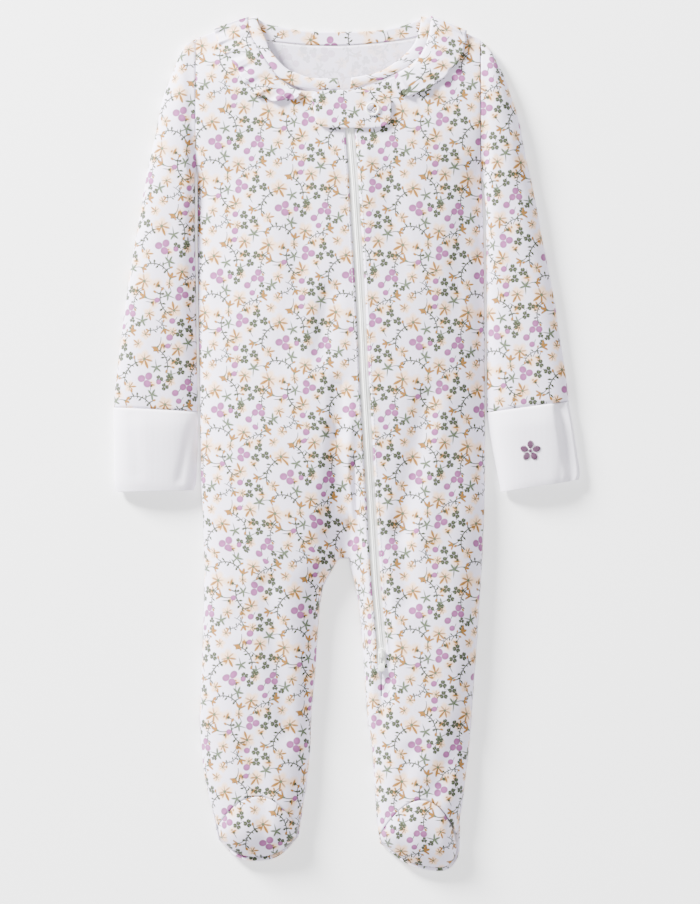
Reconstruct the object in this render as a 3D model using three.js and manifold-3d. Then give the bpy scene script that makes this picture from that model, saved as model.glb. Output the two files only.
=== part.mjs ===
import * as THREE from "three";
import Module from "manifold-3d";
import { mergeVertices } from "three/addons/utils/BufferGeometryUtils.js";

// A footed baby sleepsuit laid on its back, in millimetres.
// X runs to the right of the picture, Y towards the neck and Z up from the surface it lies on.
// Right and left in the names are the wearer's, so the right front lies at the picture's left.

const wasm = await Module();
wasm.setup();

// Cloth and seams

const clothThickness = 1.4;
const seamGap = 0.3;
const backEdgeLift = 1.0;
const seamHeight = backEdgeLift + clothThickness + seamGap;
const zipHalfOpening = 3.3;
const zipEndY = -175.5;
const crotchY = -80;

// Small helpers: tables with named columns, and values read between their rows

function table(columns, rows) {
  const names = columns.split(" ");
  return rows.map((row) => Object.fromEntries(names.map((name, at) => [name, row[at]])));
}

function mix(from, to, share) {
  return from + (to - from) * share;
}

function clamp(value, low, high) {
  return Math.min(high, Math.max(low, value));
}

function smooth(low, high, value) {
  const share = clamp((value - low) / (high - low), 0, 1);
  return share * share * (3 - 2 * share);
}

// Tables run from the neck down, so their y falls from row to row.
function readAt(rows, y, column) {
  const after = rows.findIndex((row) => row.y <= y);
  if (after === 0) return rows[0][column];
  if (after < 0) return rows[rows.length - 1][column];
  const share = (rows[after - 1].y - y) / (rows[after - 1].y - rows[after].y);
  return mix(rows[after - 1][column], rows[after][column], share);
}

// Puts a softly curved row between each two rows of a table, after its first rows.
function withMiddleRows(rows, first = 0) {
  const curved = (a, b, c, d) => (9 * (b + c) - a - d) / 16;
  const result = [];
  rows.forEach((row, at) => {
    result.push(row);
    if (at < first || at === rows.length - 1) return;
    const before = rows[Math.max(at - 1, 0)];
    const next = rows[at + 1];
    const last = rows[Math.min(at + 2, rows.length - 1)];
    const middle = {};
    for (const name of Object.keys(row)) {
      middle[name] = curved(before[name], row[name], next[name], last[name]);
    }
    result.push(middle);
  });
  return result;
}

// Outline and loft of the body and the legs

const bodySections = table("y left right loft edge", [
  [300, -105.5, 93, 9, 3],
  [283, -105.5, 93, 10, 4],
  [265, -105.5, 93, 13, 8],
  [246, -105.5, 93, 15, 10.5],
  [220, -105.5, 93, 17, 11],
  [200, -105, 93.2, 18.5, 8],
  [187, -104.5, 93.4, 19, 4.5],
  [174, -104.5, 94.8, 19.5, seamHeight],
  [146, -104.5, 95.5, 20, seamHeight],
  [99, -104, 96, 20.5, seamHeight],
  [46, -103, 96.5, 21, seamHeight],
  [-2, -102.5, 96.5, 20.5, seamHeight],
  [-48, -101, 96, 19, seamHeight],
  [-80, -100, 94.5, 18, seamHeight],
]);

const rightLeg = table("y outer inner loft", [
  [20, -103, -1.5, 20],
  [-48, -101, -1.5, 18.5],
  [-79.5, -100, -5, 17.5],
  [-90, -99.5, -11.5, 17.5],
  [-97, -100, -16, 17.5],
  [-110, -100, -19, 17.5],
  [-128.5, -100.5, -20.5, 17],
  [-151, -101.5, -21.5, 17],
  [-172.5, -102, -23.5, 16.5],
  [-190, -103, -25, 16],
  [-211, -102, -25.5, 15.5],
  [-232, -100, -27.5, 15.5],
  [-249.5, -96, -30, 15],
  [-270, -90, -34.5, 14],
]);

const leftLeg = table("y outer inner loft", [
  [20, 96.5, -1.5, 20],
  [-48, 96, -1.5, 18.5],
  [-81, 94.5, 1.5, 17.5],
  [-90, 94, 3.5, 17.5],
  [-97, 93.5, 5, 17.5],
  [-110, 92.5, 8, 17.5],
  [-128.5, 91.5, 10, 17],
  [-151, 90, 11.5, 17],
  [-172.5, 88, 13, 16.5],
  [-190, 87, 14, 16],
  [-211, 85.5, 17.5, 15.5],
  [-232, 83, 19, 15.5],
  [-249.5, 80.5, 20, 15],
  [-275, 75, 23, 14],
]);

const shoulderLine = table("x y", [
  [-105.5, 283],
  [-71, 296.5],
  [-62, 299],
  [52, 299],
  [60.5, 297.5],
  [93.5, 282.5],
]);

const zipLine = table("y x", [
  [300, -1],
  [245.5, -1],
  [217.5, 2],
  [177.5, 5],
  [135.5, 7.5],
  [90, 10],
  [44.5, 12],
  [-25.5, 16],
  [-94, 20],
  [-141, 24],
  [zipEndY, 24.2],
]);

// The larger folds, each along a straight stretch: a trough has a height below nought.
const folds = table("x0 y0 x1 y1 width height", [
  [-12, 105, -19, 63, 7, -1.6],
  [-5, 40, -7, 7, 6, -2],
  [-7, 7, -11, -66, 6, -2.2],
  [1, 12, -1, -48, 5, 1.4],
  [4, -17, 8.5, -66, 3, -2.2],
  [56, 30, 37, -62, 9, -1.8],
  [37, -62, 42, -110, 8, -1.4],
  [68, 30, 52, -62, 10, 1],
  [-56, -100, -42, -202, 8, -1.4],
  [80, -202, 62, -242, 9, -1.6],
  [24, -164, 24, -196, 3, -1.6],
  [-60, 180, -40, 90, 14, 0.8],
]);

function foldHeight(x, y) {
  let total = 0;
  for (const fold of folds) {
    const along = [fold.x1 - fold.x0, fold.y1 - fold.y0];
    const length = Math.hypot(along[0], along[1]);
    const reach = [x - fold.x0, y - fold.y0];
    const share = clamp((reach[0] * along[0] + reach[1] * along[1]) / length ** 2, 0, 1);
    const away = Math.hypot(reach[0] - along[0] * share, reach[1] - along[1] * share);
    total += fold.height * Math.exp(-((away / fold.width) ** 2));
  }
  return total;
}

// Height across a lofted stretch: nought at both edges, one along the middle.
function acrossLoft(x, left, right) {
  const place = Math.abs((2 * x - left - right) / (right - left));
  return (1 - Math.min(place, 1) ** 2.8) ** 0.62;
}

function zipX(y) {
  return readAt(zipLine, y, "x");
}

function shoulderY(x) {
  const after = clamp(shoulderLine.findIndex((point) => point.x >= x), 1, shoulderLine.length - 1);
  const from = shoulderLine[after - 1];
  const to = shoulderLine[after];
  return mix(from.y, to.y, clamp((x - from.x) / (to.x - from.x), 0, 1));
}

function legLoft(leg, x, y) {
  const left = Math.min(readAt(leg, y, "outer"), readAt(leg, y, "inner"));
  const right = Math.max(readAt(leg, y, "outer"), readAt(leg, y, "inner"));
  const share = acrossLoft(x, left, right);
  return seamHeight + (readAt(leg, y, "loft") - seamHeight + foldHeight(x, y)) * share;
}

// Height of the front's upper face over the surface, before the zip stiffens it.
function clothHeight(x, y) {
  const leg = x < readAt(rightLeg, y, "inner") + 3 ? rightLeg : leftLeg;
  if (y < crotchY) return legLoft(leg, x, y);
  const edge = readAt(bodySections, y, "edge");
  const left = readAt(bodySections, y, "left");
  const right = readAt(bodySections, y, "right");
  const loft = readAt(bodySections, y, "loft") + foldHeight(x, y);
  const body = edge + (loft - edge) * acrossLoft(x, left, right);
  const onLegs = legLoft(x < -1.5 ? rightLeg : leftLeg, x, y);
  const lying = mix(onLegs, body, smooth(-78, 15, y));
  const belowShoulder = clamp((shoulderY(x) - y) / 42, 0, 1);
  return seamHeight + (lying - seamHeight) * (1 - (1 - belowShoulder) ** 2.4) ** 0.8;
}

// The zip keeps the cloth beside it level, down to the end of its tapes.
function frontHeight(x, y) {
  const besideZip = Math.abs(x - zipX(y));
  const stiff = (1 - smooth(3.8, 11, besideZip)) * smooth(zipEndY - 12, zipEndY + 6, y);
  if (stiff === 0) return clothHeight(x, y);
  return mix(clothHeight(x, y), clothHeight(zipX(y), y), stiff);
}

function onFront(x, y, raised = 0) {
  return new THREE.Vector3(x, y, frontHeight(x, y) + raised);
}

// Closed bodies from faces: the faces are turned over if they look inwards.

function closedGeometry(points, faces) {
  let volume = 0;
  for (const [a, b, c] of faces) {
    volume += points[a].dot(new THREE.Vector3().crossVectors(points[b], points[c]));
  }
  const ordered = volume < 0 ? faces.map(([a, b, c]) => [a, c, b]) : faces;
  const geometry = new THREE.BufferGeometry();
  const flat = points.flatMap((point) => [point.x, point.y, point.z]);
  geometry.setAttribute("position", new THREE.Float32BufferAttribute(flat, 3));
  geometry.setIndex(ordered.flat());
  const solid = geometry.toNonIndexed();
  solid.computeVertexNormals();
  return solid;
}

// A wall of cloth over a grid of points. The second face lies one thickness under the first,
// along the grid's own normals or along the direction that inward gives at a rim. Unless it turns
// over on itself, the points are the wall's upper face.
function clothWall({
  points,
  thickness = clothThickness,
  hasCell = () => true,
  inward = () => null,
  turnsOver = false,
}) {
  const rows = points.length;
  const columns = points[0].length;
  const cells = [];
  for (let i = 0; i < rows - 1; i++) {
    for (let j = 0; j < columns - 1; j++) {
      if (hasCell(i, j)) cells.push([i, j]);
    }
  }
  const key = (i, j) => i * columns + j;
  const normals = new Map();
  for (const [i, j] of cells) {
    const diagonal = new THREE.Vector3().subVectors(points[i + 1][j + 1], points[i][j]);
    const other = new THREE.Vector3().subVectors(points[i][j + 1], points[i + 1][j]);
    const normal = new THREE.Vector3().crossVectors(diagonal, other).normalize();
    for (const corner of [key(i, j), key(i + 1, j), key(i, j + 1), key(i + 1, j + 1)]) {
      if (!normals.has(corner)) normals.set(corner, new THREE.Vector3());
      normals.get(corner).add(normal);
    }
  }
  const upward = [...normals.values()].reduce((sum, normal) => sum + normal.z, 0);
  const turned = upward < 0 && !turnsOver ? 1 : -1;
  const outerAt = new Map();
  const all = [];
  for (const corner of normals.keys()) {
    outerAt.set(corner, all.length);
    all.push(points[Math.floor(corner / columns)][corner % columns]);
  }
  const half = all.length;
  for (const [corner, normal] of normals) {
    const i = Math.floor(corner / columns);
    const j = corner % columns;
    const way = inward(i, j) ?? normal.clone().normalize().multiplyScalar(turned);
    all.push(points[i][j].clone().addScaledVector(way, thickness));
  }
  const faces = [];
  const sides = new Map();
  for (const [i, j] of cells) {
    const ring = [key(i, j), key(i + 1, j), key(i + 1, j + 1), key(i, j + 1)].map((c) => outerAt.get(c));
    faces.push([ring[0], ring[1], ring[2]], [ring[0], ring[2], ring[3]]);
    faces.push([ring[0] + half, ring[2] + half, ring[1] + half]);
    faces.push([ring[0] + half, ring[3] + half, ring[2] + half]);
    ring.forEach((from, at) => sides.set(`${from}_${ring[(at + 1) % 4]}`, [from, ring[(at + 1) % 4]]));
  }
  for (const [from, to] of sides.values()) {
    if (sides.has(`${to}_${from}`)) continue;
    faces.push([from, from + half, to + half], [from, to + half, to]);
  }
  return closedGeometry(all, faces);
}

// A wall of cloth round a tube: a ring of outer points and one of inner points at each section.
function tubeWall(outerRings, innerRings) {
  const count = outerRings[0].length;
  const sections = outerRings.length;
  const all = [...outerRings.flat(), ...innerRings.flat()];
  const half = sections * count;
  const faces = [];
  for (let k = 0; k < sections; k++) {
    for (let j = 0; j < count; j++) {
      const next = (j + 1) % count;
      const here = k * count;
      if (k < sections - 1) {
        const there = here + count;
        faces.push([here + j, here + next, there + next], [here + j, there + next, there + j]);
        faces.push([half + here + j, half + there + next, half + here + next]);
        faces.push([half + here + j, half + there + j, half + there + next]);
      } else {
        faces.push([here + j, here + next, half + here + next], [here + j, half + here + next, half + here + j]);
      }
      if (k === 0) faces.push([j, half + next, next], [j, half + j, half + next]);
    }
  }
  return closedGeometry(all, faces);
}

const cloth = { roughness: 0.92, metalness: 0 };
const printedJersey = { color: 0xdedbe4, ...cloth };
const plainCuff = { color: 0xe9e8ed, ...cloth };
const group = new THREE.Group();

function add(name, geometry, material) {
  const mesh = new THREE.Mesh(geometry, new THREE.MeshStandardMaterial(material));
  mesh.name = name;
  group.add(mesh);
  return mesh;
}

// Half the opening between the fronts, which closes to a slit below the bottom stop.
function zipOpening(y) {
  return mix(0.4, zipHalfOpening, smooth(zipEndY, zipEndY + 14, y));
}

// Along an armhole the rim drops straight down, but no lower than the seam lets it.
function armholeRim(point, towardMiddle) {
  const drop = clamp((point.z - seamHeight) / clothThickness, 0, 1);
  return new THREE.Vector3(towardMiddle * Math.sqrt(1 - drop * drop), 0, -drop);
}

// Fronts: a section goes from the armhole or side seam to the neck seam or the zip.

const rightFrontSections = table("outerX outerY innerX innerY", [
  [-105.5, 283, -71, 296],
  [-105.5, 275.5, -70, 289.5],
  [-105.5, 267, -68, 283],
  [-105.5, 257, -63.5, 276],
  [-105.5, 246, -58, 266.5],
  [-105.5, 235, -50.5, 256],
  [-105.5, 223.5, -36, 246.5],
  [-105.5, 212.5, -19, 245],
  [-105.5, 202, -4.3, 245.5],
  [-105.2, 194, -3, 233.5],
  [-104.5, 186, -1.5, 219.5],
  [-104.5, 167, 1, 190],
  [-104.5, 146, 2.5, 160],
  [-104, 124, 4.5, 130],
  [-104, 99, 6.2, 100.5],
  [-103.5, 72.5, 7.5, 72.5],
  [-103, 46, 8.6, 46],
  [-103, 22, 10, 22],
  [-102.5, -2, 11.3, -2],
  [-102, -25.5, 12.7, -25.5],
  [-101, -48, 14, -48],
  [-100, -67, 15, -67],
]);

const leftFrontSections = table("outerX outerY innerX innerY", [
  [93, 282.5, 60.5, 297],
  [93, 275.5, 59.5, 291],
  [93, 267, 58.5, 284],
  [93, 257, 56, 276],
  [93, 246, 52, 269],
  [93, 235, 45, 263],
  [93, 223.5, 35, 257],
  [93, 212.5, 23, 251.5],
  [93, 202, 2.6, 245.5],
  [93.5, 194, 3.7, 233.5],
  [94, 186, 5.2, 219.5],
  [95, 167, 7.4, 190],
  [95.5, 146, 9.2, 160],
  [96, 124, 11.2, 130],
  [96, 99, 12.8, 100.5],
  [96.5, 72.5, 14, 72.5],
  [96.5, 46, 15.2, 46],
  [96.5, 22, 16.6, 22],
  [96.5, -2, 18, -2],
  [96.5, -25.5, 19.3, -25.5],
  [96, -48, 20.6, -48],
  [95, -67, 21.7, -67],
]);

// Rows below the crotch, down to the vamp seam, with how far the row's middle bows up.
const legRows = table("y bow", [
  [-80, 0],
  [-88, 0],
  [-98, 0],
  [-110, 0],
  [-128, 0],
  [-150, 0],
  [-162, 0],
  [zipEndY + 0.3, 0],
  [zipEndY - 0.3, 0],
  [-188, 0],
  [-202, 0],
  [-220, 2],
  [-237, 7],
  [-254, 15],
  [-268, 22],
]);

const neckRows = 9;
const zipEndRow = legRows.findIndex((row) => row.y < zipEndY);
const legColumns = 8;
const stripColumns = 3;

// Shares across a leg or half front: closer together near edges that round away.
function spreadShare(share, roundEnd) {
  const oneEnd = 1 - Math.cos((share * Math.PI) / 2);
  const bothEnds = (1 - Math.cos(share * Math.PI)) / 2;
  return mix(mix(oneEnd, share, 0.35), bothEnds, roundEnd);
}

function bowShare(share) {
  return 1 - Math.abs(2 * share - 1) ** 2.1;
}

// The right front carries on past the crotch as a strip between the left leg's inseam and the zip.
function rightFront() {
  const legAt = 0.826;
  const stripAt = 0.883;
  const points = withMiddleRows(rightFrontSections, neckRows).map((row) => {
    const onRow = (share) => onFront(mix(row.outerX, row.innerX, share), mix(row.outerY, row.innerY, share));
    const nearCrotch = 1 - smooth(-80, 40, row.outerY);
    const line = [];
    for (let j = 0; j <= legColumns; j++) {
      line.push(onRow(legAt * spreadShare(j / legColumns, nearCrotch * 0.8)));
    }
    for (let j = 0; j <= stripColumns; j++) line.push(onRow(mix(stripAt, 1, j / stripColumns)));
    return line;
  });
  const bodyRows = points.length;
  for (const row of legRows) {
    const outer = readAt(rightLeg, row.y, "outer");
    const inner = readAt(rightLeg, row.y, "inner");
    const line = [];
    for (let j = 0; j <= legColumns; j++) {
      const share = spreadShare(j / legColumns, 0.8 + 0.2 * smooth(-80, -110, row.y));
      line.push(onFront(mix(outer, inner, share), row.y + row.bow * bowShare(share)));
    }
    const stripEdge = readAt(leftLeg, row.y, "inner");
    const zipEdge = zipX(row.y) - zipOpening(row.y);
    for (let j = 0; j <= stripColumns; j++) {
      line.push(onFront(mix(stripEdge, zipEdge, j / stripColumns), row.y));
    }
    points.push(line);
  }
  const lastStripRow = bodyRows + zipEndRow - 1;
  return clothWall({
    points,
    hasCell: (i, j) => {
      if (i < bodyRows) return true;
      if (j < legColumns) return true;
      return j > legColumns && i < lastStripRow;
    },
    inward: (i, j) => {
      const legPart = i >= bodyRows;
      if (i === 0) return new THREE.Vector3(0, -1, 0);
      if (legPart && j === legColumns) return new THREE.Vector3(-1, 0, 0);
      if (legPart && j === legColumns + 1) return new THREE.Vector3(1, 0, 0);
      if (j === 0) return armholeRim(points[i][j], 1);
      return null;
    },
  });
}
add("right_front", rightFront(), printedJersey);

// The left front takes the whole width of the left leg below the zip.
function leftFront() {
  const points = withMiddleRows(leftFrontSections, neckRows).map((row) => {
    const line = [];
    for (let j = 0; j <= legColumns; j++) {
      const share = spreadShare(j / legColumns, 0);
      line.push(onFront(mix(row.outerX, row.innerX, share), mix(row.outerY, row.innerY, share)));
    }
    for (let j = 0; j < stripColumns; j++) line.push(line[legColumns].clone());
    return line;
  });
  const bodyRows = points.length;
  for (const row of legRows) {
    const outer = readAt(leftLeg, row.y, "outer");
    const inner = readAt(leftLeg, row.y, "inner");
    const zipEdge = zipX(row.y) + zipOpening(row.y);
    const wholeLeg = smooth(zipEndY - 1, -215, row.y);
    const line = [];
    for (let j = 0; j <= legColumns + stripColumns; j++) {
      const beside = Math.min(j / legColumns, 1);
      const towardInner = Math.max(j - legColumns, 0) / stripColumns;
      const slitX = mix(mix(outer, zipEdge, spreadShare(beside, 0)), inner, towardInner ** 0.8);
      const evenShare = spreadShare(j / (legColumns + stripColumns), 1);
      const x = mix(slitX, mix(outer, inner, evenShare), wholeLeg);
      const share = (x - outer) / (inner - outer);
      line.push(onFront(x, row.y + row.bow * 1.16 * bowShare(share ** 0.86) - 6 * smooth(-215, -268, row.y)));
    }
    points.push(line);
  }
  const firstWholeRow = bodyRows + zipEndRow;
  return clothWall({
    points,
    hasCell: (i, j) => j < legColumns || i >= firstWholeRow,
    inward: (i, j) => {
      if (i === 0) return new THREE.Vector3(0, -1, 0);
      if (j === legColumns + stripColumns && i >= firstWholeRow) return new THREE.Vector3(1, 0, 0);
      if (j === 0) return armholeRim(points[i][j], -1);
      return null;
    },
  });
}
add("left_front", leftFront(), printedJersey);

// Back: one panel for the body and both legs, flat on the surface, its side edges lifted to the seams.

const backTop = table("x y", [
  [-105.5, 283],
  [-101, 284.7],
  [-88, 289.7],
  [-71, 296.3],
  [-67.4, 286],
  [-56.2, 281.2],
  [-29, 278.2],
  [-3.5, 277.7],
  [23, 279.7],
  [45.2, 282.7],
  [55.8, 285.4],
  [61.2, 296.5],
  [68, 293.4],
  [76, 289.7],
  [89, 284],
  [93, 282.5],
]);

const backRowsY = [252, 225, 187, 150, 110, 70, 30, -10, -45, -70, -80.5, -90, -100, -115, -135];
const backLegRowsY = [-160, -190, -215, -240, -258];
const backShares = [0, 0.03, 0.1, 0.19, 0.29, 0.38, 0.44, 0.488, 0.522, 0.56, 0.62, 0.71, 0.81, 0.9, 0.97, 1];
const legShares = [0, 0.06, 0.22, 0.4, 0.6, 0.78, 0.94, 1];
const heelRowY = backLegRowsY.at(-1);

function back() {
  const half = backShares.length / 2;
  const topZ = (j) => clothThickness + (j === 0 || j === 2 * half - 1 ? backEdgeLift : 0);
  const bodyX = (y, j) => mix(readAt(bodySections, y, "left"), readAt(bodySections, y, "right"), backShares[j]);
  const points = [0, 0.22, 0.55].map((share) =>
    backTop.map((top, j) => {
      const lift = share === 0 && (j < 4 || j > 10) ? backEdgeLift : 0;
      const z = Math.max(topZ(j), clothThickness + lift);
      return new THREE.Vector3(mix(top.x, bodyX(backRowsY[0], j), share), mix(top.y, backRowsY[0], share), z);
    }),
  );
  for (const y of [...backRowsY, ...backLegRowsY]) {
    const line = backShares.map((_, j) => {
      if (y > crotchY) return new THREE.Vector3(bodyX(y, j), y, topZ(j));
      const leg = j < half ? rightLeg : leftLeg;
      const share = j < half ? legShares[j] : legShares[2 * half - 1 - j];
      const onEdge = share === 0 || share === 1;
      const x = mix(readAt(leg, y, "outer"), readAt(leg, y, "inner"), share);
      return new THREE.Vector3(x, y, clothThickness + (onEdge ? backEdgeLift : 0));
    });
    points.push(line);
  }
  const crotchRow = points.findIndex((line) => line[0].y < crotchY);
  return clothWall({ points, hasCell: (i, j) => j !== half - 1 || i < crotchRow });
}
add("back", back(), printedJersey);

// Sleeves and cuffs: flattened tubes, each section running from the outer edge to the inner edge.

const rightSleeveSections = table("outerX outerY innerX innerY loft", [
  [-106, 283, -106, 187, 12],
  [-111.5, 279.5, -106, 181.5, 12.5],
  [-116, 273.5, -106, 174.5, 13],
  [-120.5, 263, -106, 166, 13],
  [-124.5, 252.5, -106, 156.5, 13],
  [-129, 240.5, -106, 146.5, 13],
  [-134.5, 214, -106, 132.5, 13],
  [-140, 188, -105.6, 116.5, 12.5],
  [-145.5, 156.5, -105.4, 99, 12.5],
  [-151, 125, -105.2, 81.5, 12],
  [-155.5, 93.5, -105, 64, 11.5],
  [-159.5, 62, -104.6, 44.5, 11],
  [-162.3, 37.5, -104.3, 30.5, 10.5],
  [-163.2, 25.5, -104.2, 22.5, 10],
]);

const leftSleeveSections = table("outerX outerY innerX innerY loft", [
  [94, 282, 94, 187, 12],
  [97.5, 278, 95, 181.5, 12.5],
  [102, 272, 96, 174.5, 13],
  [106.5, 263.5, 96.6, 166, 13],
  [111, 254.5, 97, 156.5, 13],
  [114.5, 244, 97.1, 146.5, 13],
  [120, 226.5, 97.3, 132.5, 13],
  [125.5, 198.5, 97.4, 116.5, 12.5],
  [131, 174, 97.5, 99, 12.5],
  [137.5, 138, 97.5, 81, 12],
  [144, 106, 97.6, 64, 11.5],
  [149.5, 70.5, 97.6, 44.5, 11],
  [153, 48, 97.6, 30.5, 10.5],
  [154.3, 30, 97.6, 22, 10],
]);

const rightCuffSections = table("outerX outerY innerX innerY loft", [
  [-163.5, 25, -103.9, 22, 11],
  [-163.4, 14, -103.9, 13, 11.5],
  [-163.2, 2.5, -104.1, 2.5, 11.5],
  [-163, -15.5, -105, -15.5, 10.5],
  [-162.5, -27.5, -105.6, -27, 9.5],
  [-160.5, -34, -107, -32.8, 8.5],
]);

const leftCuffSections = table("outerX outerY innerX innerY loft", [
  [155.4, 29.5, 97.3, 21.5, 11],
  [156.8, 19, 98.8, 12, 11.5],
  [158.4, 9.5, 100.5, 2.5, 11.5],
  [161.2, -8, 104, -15.5, 10.5],
  [163, -20.5, 106.6, -28.5, 9.5],
  [162, -25.5, 107.6, -34, 8.5],
]);

const sleeveEdge = 2.6;
const topSteps = 10;
const underSteps = 7;

// One ring of a tube's section, its upper points first, shrunk by a cloth thickness for the inside.
function tubeRing(section, inset, topAt) {
  const outer = new THREE.Vector2(section.outerX, section.outerY);
  const inner = new THREE.Vector2(section.innerX, section.innerY);
  const width = outer.distanceTo(inner);
  const ring = [];
  const place = (share) => outer.clone().lerp(inner, mix(inset / width, 1 - inset / width, share));
  for (let j = 0; j <= topSteps; j++) {
    const share = (1 - Math.cos((j * Math.PI) / topSteps)) / 2;
    const at = place(share);
    ring.push(new THREE.Vector3(at.x, at.y, Math.max(topAt(share, at) - inset, sleeveEdge)));
  }
  for (let j = underSteps - 1; j > 0; j--) {
    const at = place(mix(0.045, 0.955, (j - 1) / (underSteps - 2)));
    ring.push(new THREE.Vector3(at.x, at.y, inset));
  }
  return ring;
}

function sleeve(sections) {
  const rows = withMiddleRows(sections).filter((_, at) => at < 8 || at % 2 === 0);
  const ringsAt = (inset) =>
    rows.map((section, at) =>
      tubeRing(section, inset, (share, point) => {
        const own = sleeveEdge + (section.loft - sleeveEdge) * acrossLoft(share, 0, 1);
        if (at > 7) return own;
        const armholeX = clamp(point.x, -105.4, 92.9);
        return mix(frontHeight(armholeX, clamp(point.y, 180, 283)), own, smooth(0, 8, at));
      }),
    );
  return tubeWall(ringsAt(0), ringsAt(clothThickness));
}

function cuff(sections, underLayerShare) {
  const ringsAt = (inset) =>
    sections.map((section) =>
      tubeRing(section, inset, (share) => {
        const lofted = sleeveEdge + (section.loft - sleeveEdge) * acrossLoft(share, 0, 1);
        const step = smooth(underLayerShare - 0.06, underLayerShare + 0.06, share);
        return mix(Math.min(lofted, 5.2), lofted, step);
      }),
    );
  return tubeWall(ringsAt(0), ringsAt(clothThickness));
}

add("right_sleeve", sleeve(rightSleeveSections), printedJersey);
add("left_sleeve", sleeve(leftSleeveSections), printedJersey);
add("right_cuff", cuff(rightCuffSections, -0.2), plainCuff);
add("left_cuff", cuff(leftCuffSections, 0.16), plainCuff);

// Neckband: a ribbon from one front edge round the back of the neck to the other.
// It folds over at each shoulder, where lift falls from the front's height to the back's.

const neckbandSections = table("openX openY seamX seamY lift", [
  [-6.5, 254.5, -4.2, 246.2, 1],
  [-17.5, 254, -17.5, 245.7, 1],
  [-27.5, 255, -31.5, 247.2, 1],
  [-35.5, 258, -40.5, 250.6, 1],
  [-42, 261, -48, 255.4, 1],
  [-48, 267, -55, 265, 1],
  [-53.5, 274.5, -61.5, 274.8, 1],
  [-57.5, 284, -66.5, 282.5, 1],
  [-61, 291.5, -68.7, 290, 1],
  [-62, 296.3, -69.8, 295, 0.9],
  [-62.2, 298.4, -70, 297.3, 0.55],
  [-61.6, 296.8, -69, 294.5, 0],
  [-58, 294.5, -66.2, 287, 0],
  [-49.5, 292, -56, 282, 0],
  [-29, 288.5, -29, 279, 0],
  [-3.5, 288, -3.5, 278.5, 0],
  [22, 289, 23, 280.5, 0],
  [40, 292.7, 45, 283.6, 0],
  [48, 295.7, 54, 287, 0],
  [51.2, 297.2, 58.8, 295, 0],
  [51.8, 298.8, 59.6, 297.6, 0.55],
  [51.6, 296.6, 59.4, 295.6, 0.9],
  [51, 291, 58.8, 290.5, 1],
  [49.3, 285, 57.5, 283.5, 1],
  [46, 277.5, 54.9, 275.8, 1],
  [39, 270, 51, 269, 1],
  [30, 263, 44.2, 262.8, 1],
  [21.5, 258.5, 34.2, 257.5, 1],
  [12, 256, 22.5, 252.2, 1],
  [3, 254.5, 2.2, 246.4, 1],
]);

const bandAcross = 3;

function neckband() {
  const points = neckbandSections.map((row) => {
    const seam = frontHeight(row.seamX, Math.min(row.seamY, 294)) + 0.4;
    const line = [];
    for (let j = 0; j <= bandAcross; j++) {
      const share = j / bandAcross;
      const crown = 0.5 * Math.sin(share * Math.PI) * row.lift;
      const x = mix(row.openX, row.seamX, share);
      const y = mix(row.openY, row.seamY, share);
      line.push(new THREE.Vector3(x, y, row.lift * seam + crown));
    }
    return line;
  });
  return clothWall({ points, turnsOver: true });
}
add("neckband", neckband(), printedJersey);

// Collar ruffles: from the neck seam outwards over the front, in shallow waves.

const rightRuffleSections = table("innerX innerY outerX outerY", [
  [-71.2, 297.6, -93, 290.7],
  [-70.6, 290.5, -91.2, 283],
  [-68.4, 283, -88, 275],
  [-63.4, 275, -82.5, 269],
  [-60.6, 270.5, -76.5, 262],
  [-57.4, 264.5, -74.5, 256],
  [-53, 258.5, -70, 249],
  [-49.2, 253.3, -65.5, 244],
  [-44.6, 250, -59.5, 240.5],
  [-40, 247.2, -50, 238.5],
  [-35.5, 245.6, -40.5, 239],
  [-32, 244.8, -33, 242],
]);

const leftRuffleSections = table("innerX innerY outerX outerY", [
  [61, 298, 83.5, 289],
  [60.6, 291, 83.5, 282],
  [59.2, 284, 82, 275],
  [56.4, 275.8, 79, 268],
  [53.2, 269.8, 74, 262],
  [48.6, 264.6, 69.5, 256.5],
  [44.8, 261.4, 64, 251.5],
  [41, 259, 58, 246.5],
  [38.6, 257.6, 50.5, 243.5],
  [36.4, 256.5, 43.5, 242],
  [34.6, 255.6, 39, 241.8],
  [33.2, 254.4, 35.5, 243.8],
]);

const ruffleThickness = 1.1;
const ruffleWaves = 8;
const waveHeight = 0.7;
const ruffleAcross = 3;

function ruffle(sections) {
  const rows = withMiddleRows(withMiddleRows(sections));
  const points = rows.map((row, at) => {
    const wave = Math.sin((at / (rows.length - 1)) * ruffleWaves * 2 * Math.PI);
    const line = [];
    for (let j = 0; j <= ruffleAcross; j++) {
      const share = j / ruffleAcross;
      const x = mix(row.innerX, row.outerX, share);
      const y = mix(row.innerY, row.outerY, share);
      const raised = ruffleThickness + 0.5 + waveHeight * (1 + wave) * share ** 1.3;
      line.push(onFront(x, y, raised));
    }
    return line;
  });
  const down = new THREE.Vector3(0, 0, -1);
  return clothWall({ points, thickness: ruffleThickness, inward: () => down });
}
add("right_ruffle", ruffle(rightRuffleSections), printedJersey);
add("left_ruffle", ruffle(leftRuffleSections), printedJersey);

// Zip: two woven tapes under the fronts' edges, the coil beneath them, a slider, its pull and a stop.

const tapeThickness = 0.7;
const tapeHalfWidth = 6.5;
const tapeLegHalfWidth = 4;
const tapeDrop = 2.2;
const tapeTopY = 244.8;
const tapeEndY = -168;
const coilThickness = 1.2;
const coilHalfWidth = 1.9;
const zipSteps = 36;
const zipWhite = { color: 0xe8eae8, roughness: 0.8, metalness: 0 };
const zipPlastic = { color: 0xe6e8e7, roughness: 0.45, metalness: 0 };

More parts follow.
